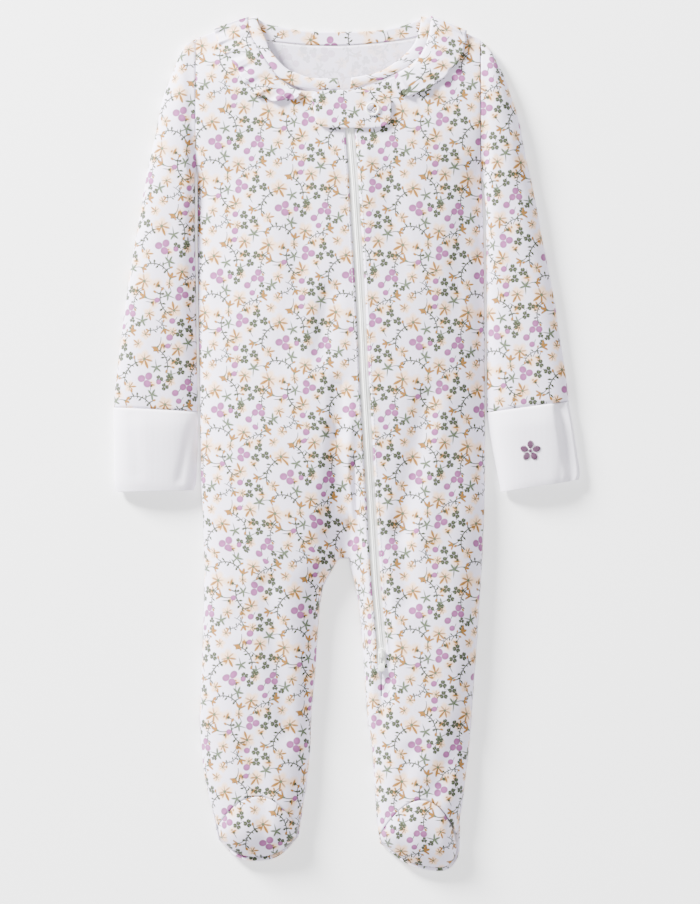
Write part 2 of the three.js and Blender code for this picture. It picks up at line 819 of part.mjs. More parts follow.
// Down the leg the tapes are trimmed narrower, to stay clear of the inseam.
function zipStrip(acrossPlaces, drop, thickness) {
  const points = [];
  for (let i = 0; i <= zipSteps; i++) {
    const y = mix(tapeTopY, tapeEndY, i / zipSteps);
    const widest = mix(tapeLegHalfWidth, tapeHalfWidth, smooth(-62, -35, y));
    points.push(acrossPlaces.map((across) => onFront(zipX(y) + clamp(across, -widest, widest), y, -drop)));
  }
  const down = new THREE.Vector3(0, 0, -1);
  return clothWall({ points, thickness, inward: () => down });
}

add("right_zip_tape", zipStrip([-tapeHalfWidth, -zipHalfOpening, -0.15], tapeDrop, tapeThickness), zipWhite);
add("left_zip_tape", zipStrip([0.15, zipHalfOpening, tapeHalfWidth], tapeDrop, tapeThickness), zipWhite);
const coilDrop = tapeDrop + tapeThickness + seamGap;
add("zip_coil", zipStrip([-coilHalfWidth, 0, coilHalfWidth], coilDrop, coilThickness), zipPlastic);

function solidOf(geometry) {
  const bare = geometry.clone();
  bare.deleteAttribute("normal");
  bare.deleteAttribute("uv");
  const merged = mergeVertices(bare, 1e-4);
  const mesh = new wasm.Mesh({
    numProp: 3,
    vertProperties: new Float32Array(merged.attributes.position.array),
    triVerts: new Uint32Array(merged.index.array),
  });
  return new wasm.Manifold(mesh);
}

function geometryOf(solid) {
  const mesh = solid.getMesh();
  const geometry = new THREE.BufferGeometry();
  geometry.setAttribute("position", new THREE.Float32BufferAttribute(mesh.vertProperties, 3));
  geometry.setIndex(Array.from(mesh.triVerts));
  const faceted = geometry.toNonIndexed();
  faceted.computeVertexNormals();
  return faceted;
}

function joined(geometries) {
  return geometryOf(wasm.Manifold.union(geometries.map(solidOf)));
}

function boxAt(width, length, height, x, y, z) {
  return new THREE.BoxGeometry(width, length, height).translate(x, y, z);
}

// A plate with round ends, lying in XY, its underside at z and its length along Y.
function roundPlate(width, length, height, y, z) {
  const radius = width * 0.45;
  const shape = new THREE.Shape();
  const side = width / 2;
  const end = length / 2;
  shape.moveTo(-side + radius, -end);
  shape.lineTo(side - radius, -end);
  shape.absarc(side - radius, -end + radius, radius, -Math.PI / 2, 0);
  shape.absarc(side - radius, end - radius, radius, 0, Math.PI / 2);
  shape.absarc(-side + radius, end - radius, radius, Math.PI / 2, Math.PI);
  shape.absarc(-side + radius, -end + radius, radius, Math.PI, 1.5 * Math.PI);
  return new THREE.ExtrudeGeometry(shape, { depth: height, bevelEnabled: false, curveSegments: 5 }).translate(0, y, z);
}

const sliderY = -146;
const sliderWidth = 5.2;
const sliderLength = 7.4;
const sliderThickness = 1.3;
const bridgeWidth = 1.5;
const bridgeReach = 2.7;
const bridgePost = 0.9;
const bridgeRise = 2.9;
const pullBarRadius = 0.6;
const pullBarWidth = 4.6;
const pullArmWidth = 1.1;
const pullLength = 13;
const pullPlateStart = 4.4;
const sliderX = zipX(sliderY);
const sliderBase = frontHeight(sliderX, sliderY) - tapeDrop + 0.45;
const pullAxisHeight = sliderThickness + pullBarRadius + 0.35;

function zipSlider() {
  const plate = roundPlate(sliderWidth, sliderLength, sliderThickness, 0, 0);
  const postHeight = bridgeRise + sliderThickness - 0.2;
  const posts = [-1, 1].map((side) =>
    boxAt(bridgeWidth, bridgePost, postHeight, 0, side * bridgeReach, 0.2 + postHeight / 2),
  );
  const beamLength = 2 * bridgeReach + bridgePost;
  const beam = boxAt(bridgeWidth, beamLength, 0.8, 0, 0, sliderThickness + bridgeRise - 0.4);
  return joined([plate, ...posts, beam]);
}

function zipPull() {
  const bar = new THREE.CylinderGeometry(pullBarRadius, pullBarRadius, pullBarWidth, 16).rotateZ(Math.PI / 2);
  const armLength = pullPlateStart + 1;
  const arms = [-1, 1].map((side) =>
    boxAt(pullArmWidth, armLength, 1.1, side * (pullBarWidth - pullArmWidth) / 2, -armLength / 2, 0),
  );
  const plateLength = pullLength - pullPlateStart;
  const plate = roundPlate(pullBarWidth, plateLength, 1.1, -pullPlateStart - plateLength / 2, -0.55);
  return joined([bar, ...arms, plate]);
}

const slider = add("zip_slider", zipSlider(), zipPlastic);
slider.position.set(sliderX, sliderY, sliderBase);
const pull = add("zip_pull", zipPull(), zipPlastic);
pull.position.set(sliderX, sliderY, sliderBase + pullAxisHeight);
const stopY = -162.5;
const stop = add("zip_stop", boxAt(4, 2, 1, 0, 0, 0.5), zipPlastic);
stop.position.set(zipX(stopY), stopY, frontHeight(zipX(stopY), stopY) - tapeDrop + 0.55);

// Zip guard: the tab that covers the top of the zip, held shut by a ring snap.

const guardRows = table("y left right", [
  [245.4, -23.8, 25.5],
  [241, -24, 29.8],
  [236.5, -23.8, 31],
  [230, -22.8, 31],
  [224.5, -21.6, 30.4],
  [221, -20.8, 29],
  [219.2, -18.5, 26],
]);
const guardThickness = 2;
const guardColumns = 8;
const snapX = 17.8;
const snapY = 232.5;
const snapRadius = 4.2;
const snapTubeRadius = 0.75;

function zipGuard() {
  const points = guardRows.map((row) => {
    const line = [];
    for (let j = 0; j <= guardColumns; j++) {
      line.push(onFront(mix(row.left, row.right, j / guardColumns), row.y, guardThickness + 0.35));
    }
    return line;
  });
  const down = new THREE.Vector3(0, 0, -1);
  return clothWall({ points, thickness: guardThickness, inward: () => down });
}
add("zip_guard", zipGuard(), printedJersey);

const snap = add("snap_ring", new THREE.TorusGeometry(snapRadius, snapTubeRadius, 8, 24), zipPlastic);
snap.position.set(snapX, snapY, frontHeight(snapX, snapY) + guardThickness + 0.35 + snapTubeRadius + 0.5);

// Feet: a domed vamp over a flat sole whose edge shows as a narrow band round the toe.

const soleRim = 4.6;
const feet = [
  {
    side: "right",
    leg: rightLeg,
    ankle: { outerX: -90.2, outerY: -268.6, innerX: -34.6, innerY: -268.6, bow: 22, peak: 1 },
    toe: { outerX: -88.8, outerY: -275, innerX: -35.4, innerY: -273.5, bow: -14, peak: 1 },
    soleToe: { outerX: -89.6, outerY: -276.5, innerX: -34.6, innerY: -275, bow: -15.9, peak: 1 },
  },
  {
    side: "left",
    leg: leftLeg,
    ankle: { outerX: 75, outerY: -274.6, innerX: 23, innerY: -274.6, bow: 25.4, peak: 0.86 },
    toe: { outerX: 76.6, outerY: -282.5, innerX: 24.6, innerY: -278, bow: -14.4, peak: 0.62 },
    soleToe: { outerX: 77.8, outerY: -284.5, innerX: 23.8, innerY: -279.8, bow: -15.6, peak: 0.62 },
  },
];
const footRows = 8;
const footColumns = 12;

function footPoint(line, share, power) {
  const bent = share ** line.peak;
  const arch = 1 - Math.abs(2 * bent - 1) ** power;
  const x = mix(line.outerX, line.innerX, share);
  return new THREE.Vector3(x, mix(line.outerY, line.innerY, share) + line.bow * arch, 0);
}

function vamp(foot) {
  const points = [];
  for (let i = 0; i <= footRows; i++) {
    const down = Math.sin(((i / footRows) * Math.PI) / 2);
    const line = [];
    for (let j = 0; j <= footColumns; j++) {
      const share = (1 - Math.cos((j / footColumns) * Math.PI)) / 2;
      const from = footPoint(foot.ankle, share, 2.1);
      const to = footPoint(foot.toe, share, 2.6);
      from.y -= seamGap + 0.1;
      const at = from.clone().lerp(to, down);
      const seam = Math.max(legLoft(foot.leg, from.x, from.y), seamHeight);
      const rim = mix(seamHeight, soleRim + seamGap, smooth(0, 0.3, Math.min(share, 1 - share)));
      const dome = (1 - down ** 2.6) ** 0.7;
      at.z = rim + (seam - rim) * dome + 2.2 * Math.sin(down * Math.PI) * Math.sin(share * Math.PI) ** 0.7;
      line.push(at);
    }
    points.push(line);
  }
  const flatInward = (i, j) => {
    if (i === footRows) return new THREE.Vector3(0, 1, 0);
    if (j === 0) return new THREE.Vector3(Math.sign(foot.ankle.innerX - foot.ankle.outerX), 0, 0);
    if (j === footColumns) return new THREE.Vector3(Math.sign(foot.ankle.outerX - foot.ankle.innerX), 0, 0);
    return null;
  };
  return clothWall({ points, inward: flatInward });
}

function sole(foot) {
  const heel = heelRowY - 0.4;
  const outer = readAt(foot.leg, heel, "outer");
  const inner = readAt(foot.leg, heel, "inner");
  const points = [0, 0.3, 0.6, 0.85, 0.95, 1].map((down) => {
    const line = [];
    for (let j = 0; j <= footColumns; j++) {
      const share = (1 - Math.cos((j / footColumns) * Math.PI)) / 2;
      const at = new THREE.Vector3(mix(outer, inner, share), heel, 0).lerp(footPoint(foot.soleToe, share, 2.6), down);
      const atSide = j === 0 || j === footColumns;
      const atToe = smooth(0.8, 1, down) * smooth(0, 0.3, Math.min(share, 1 - share));
      const sideLift = atSide ? backEdgeLift : 0;
      at.z = clothThickness + Math.max(sideLift, (soleRim - clothThickness) * atToe);
      line.push(at);
    }
    return line;
  });
  return clothWall({ points });
}

for (const foot of feet) {
  add(`${foot.side}_vamp`, vamp(foot), printedJersey);
  add(`${foot.side}_sole`, sole(foot), printedJersey);
}

export default group;
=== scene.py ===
import math

import bmesh
import bpy
from mathutils import Matrix, Vector


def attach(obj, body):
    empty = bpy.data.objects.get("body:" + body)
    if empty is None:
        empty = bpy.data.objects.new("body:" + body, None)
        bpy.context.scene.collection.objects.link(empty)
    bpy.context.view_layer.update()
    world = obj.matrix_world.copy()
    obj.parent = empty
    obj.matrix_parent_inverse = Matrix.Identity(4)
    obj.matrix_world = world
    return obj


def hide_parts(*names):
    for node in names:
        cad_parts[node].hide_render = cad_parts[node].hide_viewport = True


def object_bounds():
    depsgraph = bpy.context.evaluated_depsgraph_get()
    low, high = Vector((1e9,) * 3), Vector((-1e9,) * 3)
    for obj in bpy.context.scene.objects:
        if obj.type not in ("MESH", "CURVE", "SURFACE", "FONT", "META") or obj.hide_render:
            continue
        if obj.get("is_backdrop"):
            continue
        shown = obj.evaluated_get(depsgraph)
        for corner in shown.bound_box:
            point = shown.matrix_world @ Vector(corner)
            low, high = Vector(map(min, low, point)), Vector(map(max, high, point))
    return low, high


# A footed baby sleepsuit laid on its back. The tables are in millimetres, the meshes in metres.
# X runs to the right of the picture, Y towards the neck and Z up from the surface.

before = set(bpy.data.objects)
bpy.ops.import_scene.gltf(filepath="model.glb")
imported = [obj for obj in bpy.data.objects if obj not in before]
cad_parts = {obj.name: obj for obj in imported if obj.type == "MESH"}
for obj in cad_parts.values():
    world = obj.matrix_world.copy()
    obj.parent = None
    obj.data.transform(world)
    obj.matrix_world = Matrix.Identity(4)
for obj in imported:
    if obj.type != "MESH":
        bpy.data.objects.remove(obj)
cad_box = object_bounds()
MM = 0.001

# Camera straight above, framed as the photograph: 490 mm across 700 pixels

view_width = 0.490
view_centre = Vector((0.0021, -0.0060, 0))
camera_height = 2.6
camera_data = bpy.data.cameras.new("camera")
camera_data.sensor_width = 36
camera_data.lens = 36 * camera_height / view_width
camera_data.sensor_fit = "HORIZONTAL"
camera_data.clip_end = 20
camera = bpy.data.objects.new("camera", camera_data)
camera.location = view_centre + Vector((0, 0, camera_height))
bpy.context.scene.collection.objects.link(camera)
bpy.context.scene.camera = camera

# Sizes of cloth and seams

cloth_thickness = 1.0
seam_height = 2.7
zip_half_opening = 3.3
closed_half_opening = 0.25
seam_weld = 0.05 * MM
fronts_weld = 0.7 * MM
zip_closes_y = (-161, -151)
zip_end_y = -175.5
crotch_y = -80


def table(columns, rows):
    names = columns.split()
    return [dict(zip(names, row)) for row in rows]


def mix(start, end, share):
    return start + (end - start) * share


def clamp(value, low, high):
    return min(high, max(low, value))


def smooth(low, high, value):
    share = clamp((value - low) / (high - low), 0, 1)
    return share * share * (3 - 2 * share)


def curve_through(a, b, c, d, share):
    """A soft curve from b to c, whose slopes at both ends follow a and d."""
    squared = 2 * a - 5 * b + 4 * c - d
    cubed = 3 * (b - c) + d - a
    return b + 0.5 * share * (c - a + share * (squared + share * cubed))


def read_at(rows, y, column):
    """Value of a column at a height y, for a table that runs from the neck down."""
    if y >= rows[0]["y"]:
        return rows[0][column]
    for at in range(1, len(rows)):
        if rows[at]["y"] <= y:
            upper, lower = rows[at - 1], rows[at]
            share = (upper["y"] - y) / (upper["y"] - lower["y"])
            return mix(upper[column], lower[column], share)
    return rows[-1][column]


def along_rows(rows, share):
    """A section between two rows of a table, on soft curves, at a share of the way down."""
    place = clamp(share, 0, 1) * (len(rows) - 1)
    at = min(int(place), len(rows) - 2)
    before, upper = rows[max(at - 1, 0)], rows[at]
    lower, after = rows[at + 1], rows[min(at + 2, len(rows) - 1)]
    return {
        name: curve_through(before[name], upper[name], lower[name], after[name], place - at)
        for name in upper
    }


# Outline and loft of the body and the legs

body_sections = table("y left right loft edge", [
    (300, -105.5, 93, 9, 3),
    (283, -105.5, 93, 10, 4),
    (265, -105.5, 93, 13, 8),
    (246, -105.5, 93, 15, 10.5),
    (220, -105.5, 93, 17, 11),
    (200, -105, 93.2, 18.5, 8),
    (187, -104.5, 93.4, 19, 4.5),
    (174, -104.5, 94.8, 19.5, seam_height),
    (146, -104.5, 95.5, 20, seam_height),
    (99, -104, 96, 20.5, seam_height),
    (46, -103, 96.5, 21, seam_height),
    (-2, -102.5, 96.5, 20.5, seam_height),
    (-48, -101, 96, 19, seam_height),
    (-80, -100, 94.5, 18, seam_height),
])
right_leg = table("y outer inner loft", [
    (20, -103, -1.5, 20),
    (-48, -101, -1.5, 18.5),
    (-79.5, -100, -5, 17.5),
    (-90, -99.5, -11.5, 17.5),
    (-97, -100, -16, 17.5),
    (-110, -100, -19, 17.5),
    (-128.5, -100.5, -20.5, 17),
    (-151, -101.5, -21.5, 17),
    (-172.5, -102, -23.5, 16.5),
    (-190, -103, -25, 16),
    (-211, -102, -25.5, 15.5),
    (-232, -100, -27.5, 15.5),
    (-249.5, -96, -30, 15),
    (-270, -90, -34.5, 14),
])
left_leg = table("y outer inner loft", [
    (20, 96.5, -1.5, 20),
    (-48, 96, -1.5, 18.5),
    (-81, 94.5, 1.5, 17.5),
    (-90, 94, 3.5, 17.5),
    (-97, 93.5, 5, 17.5),
    (-110, 92.5, 8, 17.5),
    (-128.5, 91.5, 10, 17),
    (-151, 90, 11.5, 17),
    (-172.5, 88, 13, 16.5),
    (-190, 87, 14, 16),
    (-211, 85.5, 17.5, 15.5),
    (-232, 83, 19, 15.5),
    (-249.5, 80.5, 20, 15),
    (-275, 75, 23, 14),
])
shoulder_line = table("x y", [
    (-105.5, 283),
    (-71, 296.5),
    (-62, 299),
    (52, 299),
    (60.5, 297.5),
    (93.5, 282.5),
])
zip_line = table("y x", [
    (300, -1),
    (245.5, -1),
    (217.5, 2),
    (177.5, 5),
    (135.5, 7.5),
    (90, 10),
    (44.5, 12),
    (-25.5, 16),
    (-94, 20),
    (-141, 24),
    (zip_end_y, 24.2),
])

# Folds, each along a straight stretch: a trough has a height below nought.
folds = table("x0 y0 x1 y1 width height", [
    (-12, 105, -19, 63, 7, -2.32),
    (-5, 40, -7, 7, 6, -2.9),
    (-7, 7, -11, -66, 6, -3.19),
    (1, 12, -1, -48, 5, 2.03),
    (4, -14, 8.6, -70, 1.9, -3.4),
    (56, 30, 37, -62, 9, -2.61),
    (37, -62, 42, -110, 8, -2.03),
    (68, 30, 52, -62, 10, 1.45),
    (-56, -100, -42, -202, 8, -2.03),
    (80, -202, 62, -242, 9, -2.32),
    (24, -164, 24, -196, 3, -2.32),
    (-60, 180, -40, 90, 14, 1.16),
    (-30, 150, -44, 60, 10, -1.01),
    (30, 190, 36, 120, 9, -0.87),
    (-84, -40, -74, -120, 10, -1.16),
    (-70, -215, -58, -246, 6, -1.45),
    (44, -215, 36, -250, 6, -1.3),
    (-92, 150, -86, 100, 8, -1.3),
    (82, 160, 76, 95, 8, -1.3),
    (12, 205, 14, 150, 5, 0.72),
    (153.5, 27, 148.6, -34, 3.0, -0.55),
    (-108, 12, -117, -25, 3.2, -0.9),
    (-150, 18, -146, -20, 5, -0.5),
])

# At the crotch the fronts sink into a small hollow, over a roll of the back.
crotch_folds = table("x0 y0 x1 y1 width height", [
    (0.8, -55, 3.8, -65, 3.0, -1.9),
    (-2.5, -73.5, 5.5, -75.5, 2.4, 1.2),
])


def fold_height(x, y, rows=folds):
    total = 0.0
    for fold in rows:
        along_x, along_y = fold["x1"] - fold["x0"], fold["y1"] - fold["y0"]
        reach_x, reach_y = x - fold["x0"], y - fold["y0"]
        share = (reach_x * along_x + reach_y * along_y) / (along_x ** 2 + along_y ** 2)
        share = clamp(share, 0, 1)
        away = math.hypot(reach_x - along_x * share, reach_y - along_y * share) / fold["width"]
        if away < 3:
            total += fold["height"] * math.exp(-away * away)
    return total


def across_loft(x, left, right):
    """Nought at both edges of a lofted stretch and one along its middle."""
    place = abs((2 * x - left - right) / (right - left))
    return (1 - min(place, 1) ** 2.8) ** 0.62


def shoulder_y(x):
    for start, end in zip(shoulder_line, shoulder_line[1:]):
        if x <= end["x"]:
            return mix(start["y"], end["y"], clamp((x - start["x"]) / (end["x"] - start["x"]), 0, 1))
    return shoulder_line[-1]["y"]


def zip_x(y):
    return read_at(zip_line, y, "x")


def across_body(y, share):
    return mix(read_at(body_sections, y, "left"), read_at(body_sections, y, "right"), share)


def across_leg(leg, y, share):
    return mix(read_at(leg, y, "outer"), read_at(leg, y, "inner"), share)


def leg_loft(leg, x, y):
    outer, inner = read_at(leg, y, "outer"), read_at(leg, y, "inner")
    share = across_loft(x, min(outer, inner), max(outer, inner))
    return seam_height + (read_at(leg, y, "loft") - seam_height + fold_height(x, y)) * share


def cloth_height(x, y):
    if y < crotch_y:
        leg = right_leg if x < read_at(right_leg, y, "inner") + 3 else left_leg
        return leg_loft(leg, x, y)
    edge = read_at(body_sections, y, "edge")
    left, right = read_at(body_sections, y, "left"), read_at(body_sections, y, "right")
    loft = read_at(body_sections, y, "loft") + fold_height(x, y)
    body = edge + (loft - edge) * across_loft(x, left, right)
    lying = body
    if y < 15:
        on_legs = leg_loft(right_leg if x < -1.5 else left_leg, x, y)
        lying = mix(on_legs, body, smooth(-78, 15, y)) + fold_height(x, y, crotch_folds)
        lying = max(lying, seam_height)
    below_shoulder = clamp((shoulder_y(x) - y) / 42, 0, 1)
    return seam_height + (lying - seam_height) * (1 - (1 - below_shoulder) ** 2.4) ** 0.8


def front_height(x, y):
    """Height of the front's upper face. The zip keeps the cloth beside it level."""
    beside_zip = abs(x - zip_x(y))
    stiff = (1 - smooth(3.8, 11, beside_zip)) * smooth(zip_end_y - 12, zip_end_y + 6, y)
    if stiff == 0:
        return cloth_height(x, y)
    return mix(cloth_height(x, y), cloth_height(zip_x(y), y), stiff)


def on_front(x, y, raised=0.0):
    return Vector((x, y, front_height(x, y) + raised))


def zip_opening(y):
    return mix(closed_half_opening, zip_half_opening, smooth(*zip_closes_y, y))


# Cloth from a grid: every vertex of the grid is moved to its place on the laid-out panel.

def finish_piece(name, mesh, materials, body="suit", replaced=()):
    data = bpy.data.meshes.new(name)
    mesh.to_mesh(data)
    mesh.free()
    for face in data.polygons:
        face.use_smooth = True
    for material in materials:
        data.materials.append(material)
    piece = bpy.data.objects.new(name, data)
    bpy.context.scene.collection.objects.link(piece)
    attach(piece, body)
    if replaced:
        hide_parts(*replaced)
    return piece


def cloth_grid(rows, columns, place, keep=None, origin=(0, 0), round_tube=False, start=0.5, grain=None,
               steep=False):
    """A panel whose cloth map is in metres of cloth, counted from the column at start.
    With a grain, in radians, the map lies straight on the surface and takes in what rises and falls.
    On a steep panel it also takes in how far each column runs down.
    Without one, as on a ribbon, it follows the panel's rows."""
    panel = bmesh.new()
    bmesh.ops.create_grid(panel, x_segments=columns, y_segments=rows, size=0.5)
    cloth_map = panel.loops.layers.uv.new("cloth")
    spots, points = {}, {}
    for vert in panel.verts:
        column = round((vert.co.x + 0.5) * columns)
        row = round((0.5 - vert.co.y) * rows)
        spots[vert] = (row, column)
        points[row, column] = place(row / rows, column / columns)
    middle = round(start * columns)
    mapped = {}
    for row in range(rows + 1):
        laid = [points[row, column].copy() for column in range(columns + 1)]
        if grain is not None:
            for point in laid:
                point.rotate(Matrix.Rotation(-grain, 3, "Z"))
        down = 0.0 if row == 0 else mapped[row - 1, middle][1] - (laid[middle] - above).length
        above = laid[middle]
        onward = math.copysign(1, (laid[middle] - laid[middle - 1]).x) if middle else 1
        mapped[row, middle] = (above.x, above.y) if grain is not None else (0.0, down)
        for way in (1, -1):
            column = middle + way
            while 0 <= column <= columns:
                step = laid[column] - laid[column - way]
                across, up = mapped[row, column - way]
                if grain is None:
                    mapped[row, column] = (across + way * step.length, up)
                else:
                    level = math.sqrt(max(step.length_squared - step.y ** 2, 0))
                    mapped[row, column] = (across + way * onward * level, laid[column].y)
                column += way
    if steep:
        for row in range(1, rows + 1):
            for column in range(columns + 1):
                step = points[row, column] - points[row - 1, column]
                fallen = math.sqrt(max(step.length_squared - step.x ** 2, 0))
                mapped[row, column] = (mapped[row, column][0], mapped[row - 1, column][1] - fallen)
    for face in panel.faces:
        for loop in face.loops:
            across, up = mapped[spots[loop.vert]]
            loop[cloth_map].uv = ((origin[0] + across) * MM, (origin[1] + up) * MM)
    for vert, spot in spots.items():
        vert.co = points[spot] * MM
    if keep:
        unwanted = []
        for face in panel.faces:
            row = min(spots[vert][0] for vert in face.verts)
            column = min(spots[vert][1] for vert in face.verts)
            if not keep(row, column):
                unwanted.append(face)
        bmesh.ops.delete(panel, geom=unwanted, context="FACES")
    if round_tube:
        bmesh.ops.remove_doubles(panel, verts=panel.verts, dist=seam_weld)
    panel.normal_update()
    return panel


def flat_panel(rows, columns, place, **settings):
    """A panel that lies with its shown side up."""
    panel = cloth_grid(rows, columns, place, **settings)
    if sum(face.normal.z * face.calc_area() for face in panel.faces) < 0:
        bmesh.ops.reverse_faces(panel, faces=panel.faces)
    return panel


def thicken(piece, thickness, hem=0):
    """Gives a panel its wall, under its shown side. A second material covers the other side."""
    wall = piece.modifiers.new("wall", "SOLIDIFY")
    wall.thickness = thickness * MM
    wall.offset = -1
    wall.use_even_offset = False
    wall.use_quality_normals = True
    wall.material_offset = len(piece.data.materials) - 1
    wall.material_offset_rim = hem


# Materials: short helpers for node trees

def shader_node(tree, kind, inputs, output=0, **settings):
    """Adds a node. Each input, by its name or number, takes another node's socket or a value."""
    made = tree.nodes.new(kind)
    for name, value in settings.items():
        setattr(made, name, value)
    for slot, value in inputs.items():
        if isinstance(value, bpy.types.NodeSocket):
            tree.links.new(value, made.inputs[slot])
        else:
            made.inputs[slot].default_value = value
    return made.outputs[output]


class Inks:
    """Sums on sockets, for patterns worked out in the cloth's own millimetres."""

    def __init__(self, tree):
        self.tree = tree

    def sum(self, operation, *values):
        return shader_node(self.tree, "ShaderNodeMath", dict(enumerate(values)), operation=operation)

    def vector(self, operation, *values):
        output = "Value" if operation == "LENGTH" else "Vector"
        inputs = dict(enumerate(values))
        return shader_node(self.tree, "ShaderNodeVectorMath", inputs, output, operation=operation)

    def parts(self, vector):
        x = shader_node(self.tree, "ShaderNodeSeparateXYZ", {0: vector})
        return x, x.node.outputs[1]

    def joined(self, x, y):
        return shader_node(self.tree, "ShaderNodeCombineXYZ", {0: x, 1: y})

    def turned(self, vector, angle):
        inputs = {"Vector": vector, "Angle": angle}
        return shader_node(self.tree, "ShaderNodeVectorRotate", inputs, rotation_type="Z_AXIS")

    def under(self, value, limit, softness):
        """One where the value is under the limit, nought over it, with a soft edge."""
        span = {"From Min": limit - softness, "From Max": limit + softness}
        inputs = {"Value": value, "To Min": 1.0, "To Max": 0.0} | span
        return shader_node(self.tree, "ShaderNodeMapRange", inputs, clamp=True)

    def blot(self, vector, centre, radii, softness, angle=0.0):
        """An elliptical blot of ink with a soft edge."""
        moved = self.vector("SUBTRACT", vector, (*centre, 0))
        if angle:
            moved = self.turned(moved, -angle)
        from_edge = self.vector("MULTIPLY", moved, (1 / radii[0], 1 / radii[1], 0))
        return self.under(self.vector("LENGTH", from_edge), 1.0, softness)

    def swells(self, angle, count, shift=0.0):
        """From nought to one and back, twice the count in a full turn."""
        return self.sum("ABSOLUTE", self.sum("COSINE", self.sum("MULTIPLY_ADD", angle, count, shift)))

    def nearer(self, closer, far, near):
        inputs = {0: closer, 4: far, 5: near}
        return shader_node(self.tree, "ShaderNodeMix", inputs, 1, data_type="VECTOR")

    def painted(self, under_colour, colour, mask):
        inputs = {0: mask, 6: under_colour, 7: colour}
        return shader_node(self.tree, "ShaderNodeMix", inputs, 2, data_type="RGBA")


def linear(red, green, blue):
    """A colour read from 0 to 255 on a screen, as the shader's own linear values."""
    return (*(((value / 255 + 0.055) / 1.055) ** 2.4 for value in (red, green, blue)), 1.0)


cloth_white = linear(237, 230, 250)
reverse_white = linear(222, 217, 232)
cuff_white = linear(247, 243, 254)
cuff_shade = linear(245, 241, 252)
berry_mauve = linear(142, 84, 130)
berry_light = linear(170, 95, 158)
ochre = linear(147, 103, 46)
ochre_deep = linear(120, 79, 38)
halo_peach = linear(253, 211, 173)
leaf_green = linear(60, 64, 46)
leaf_light = linear(85, 96, 74)
stem_green = linear(62, 68, 52)

# The floral print: a square cell of motifs, turned by half a right angle, repeated over the cloth.
# Places are in millimetres from the cell's middle.

cell_side = 66.0
print_chart = {
    "star": table("across down turn size", [
        (-27, 26, 10, 1.0),
        (7, 18, 50, 0.95),
        (-4, -7, 100, 1.05),
        (-18, -17, 75, 0.9),
        (25, -3, 200, 0.9),
        (28, 29, 160, 0.62),
        (-18, 6, 300, 0.66),
        (16, -18, 20, 0.7),
        (26, -29, 250, 0.6),
        (-3, 31, 120, 0.55),
        (8, 6, 40, 0.55),
        (-30, -13, 330, 0.6),
    ]),
    "berries": table("across down turn size", [
        (-15, 18, 20, 1.0),
        (19, 8, 200, 0.95),
        (6, -28, 110, 0.9),
    ]),
    "berry": table("across down turn size", [
        (5, 28.5, 0, 1.0),
        (11, 27, 0, 0.85),
        (30, -8.5, 0, 0.9),
        (-28, -17, 0, 1.0),
        (-24, -21.5, 0, 0.8),
        (-8, 24, 0, 0.75),
        (12, -8, 0, 0.8),
    ]),
    "clover": table("across down turn size", [
        (-6, 27.5, 40, 0.9),
        (27, 17, 100, 1.0),
        (-27, -5.5, 200, 1.0),
        (-7, -22, 300, 0.95),
        (15, -31, 80, 0.7),
    ]),
    "branch": table("across down turn size", [
        (-27, 13, 75, 1.0),
        (-6, 7, 150, 0.95),
        (16, -6, 20, 1.0),
        (-19, -29, 190, 0.95),
        (15, 21, 110, 0.75),
        (27, -20, 280, 0.7),
        (2, -19, 60, 0.8),
    ]),
    "bell": table("across down turn size", [
        (17, 29, 30, 1.0),
        (-29, 4, 210, 0.9),
        (6, 8, 330, 0.95),
        (6, -13, 250, 1.0),
        (30, -16, 110, 0.9),
        (-28, -27, 170, 0.9),
        (-13, -3, 60, 0.8),
    ]),
    "sprig": table("across down turn size", [
        (-4, 15, 15, 1.0),
        (-17, 29, 120, 0.95),
        (14, 0, 240, 0.9),
        (-17, -9, 320, 1.0),
        (17, -25, 60, 1.0),
        (-7, -32, 200, 0.8),
    ]),
    "bud": table("across down turn size", [
        (16, 15, 40, 1.0),
        (-20, -2.5, 150, 0.9),
        (5, -1, 260, 1.0),
        (24, -12, 10, 0.9),
        (-2, -15, 200, 0.95),
        (-14, -25, 100, 0.9),
        (11, -12, 60, 0.85),
        (-25, -23, 220, 0.9),
        (20, 23, 180, 0.8),
        (29, 7, 300, 0.85),
        (-9, 18, 330, 0.8),
    ]),
}


def nearest_motif(ink, spot, kind):
    """The spot as seen from the nearest motif of a kind: turned, and in the motif's own size."""
    nearest, least = None, None
    for motif in print_chart[kind]:
        moved = ink.vector("SUBTRACT", spot, (motif["across"], motif["down"], 0))
        wrapped = ink.vector("WRAP", moved, (cell_side / 2,) * 3, (-cell_side / 2,) * 3)
        turned = ink.turned(wrapped, math.radians(motif["turn"]))
        local = ink.vector("MULTIPLY", turned, (1 / motif["size"], 1 / motif["size"], 0))
        distance = ink.vector("LENGTH", local)
        if nearest is None:
            nearest, least = local, distance
            continue
        nearest = ink.nearer(ink.sum("LESS_THAN", distance, least), nearest, local)
        least = ink.sum("MINIMUM", distance, least)
    return nearest, least


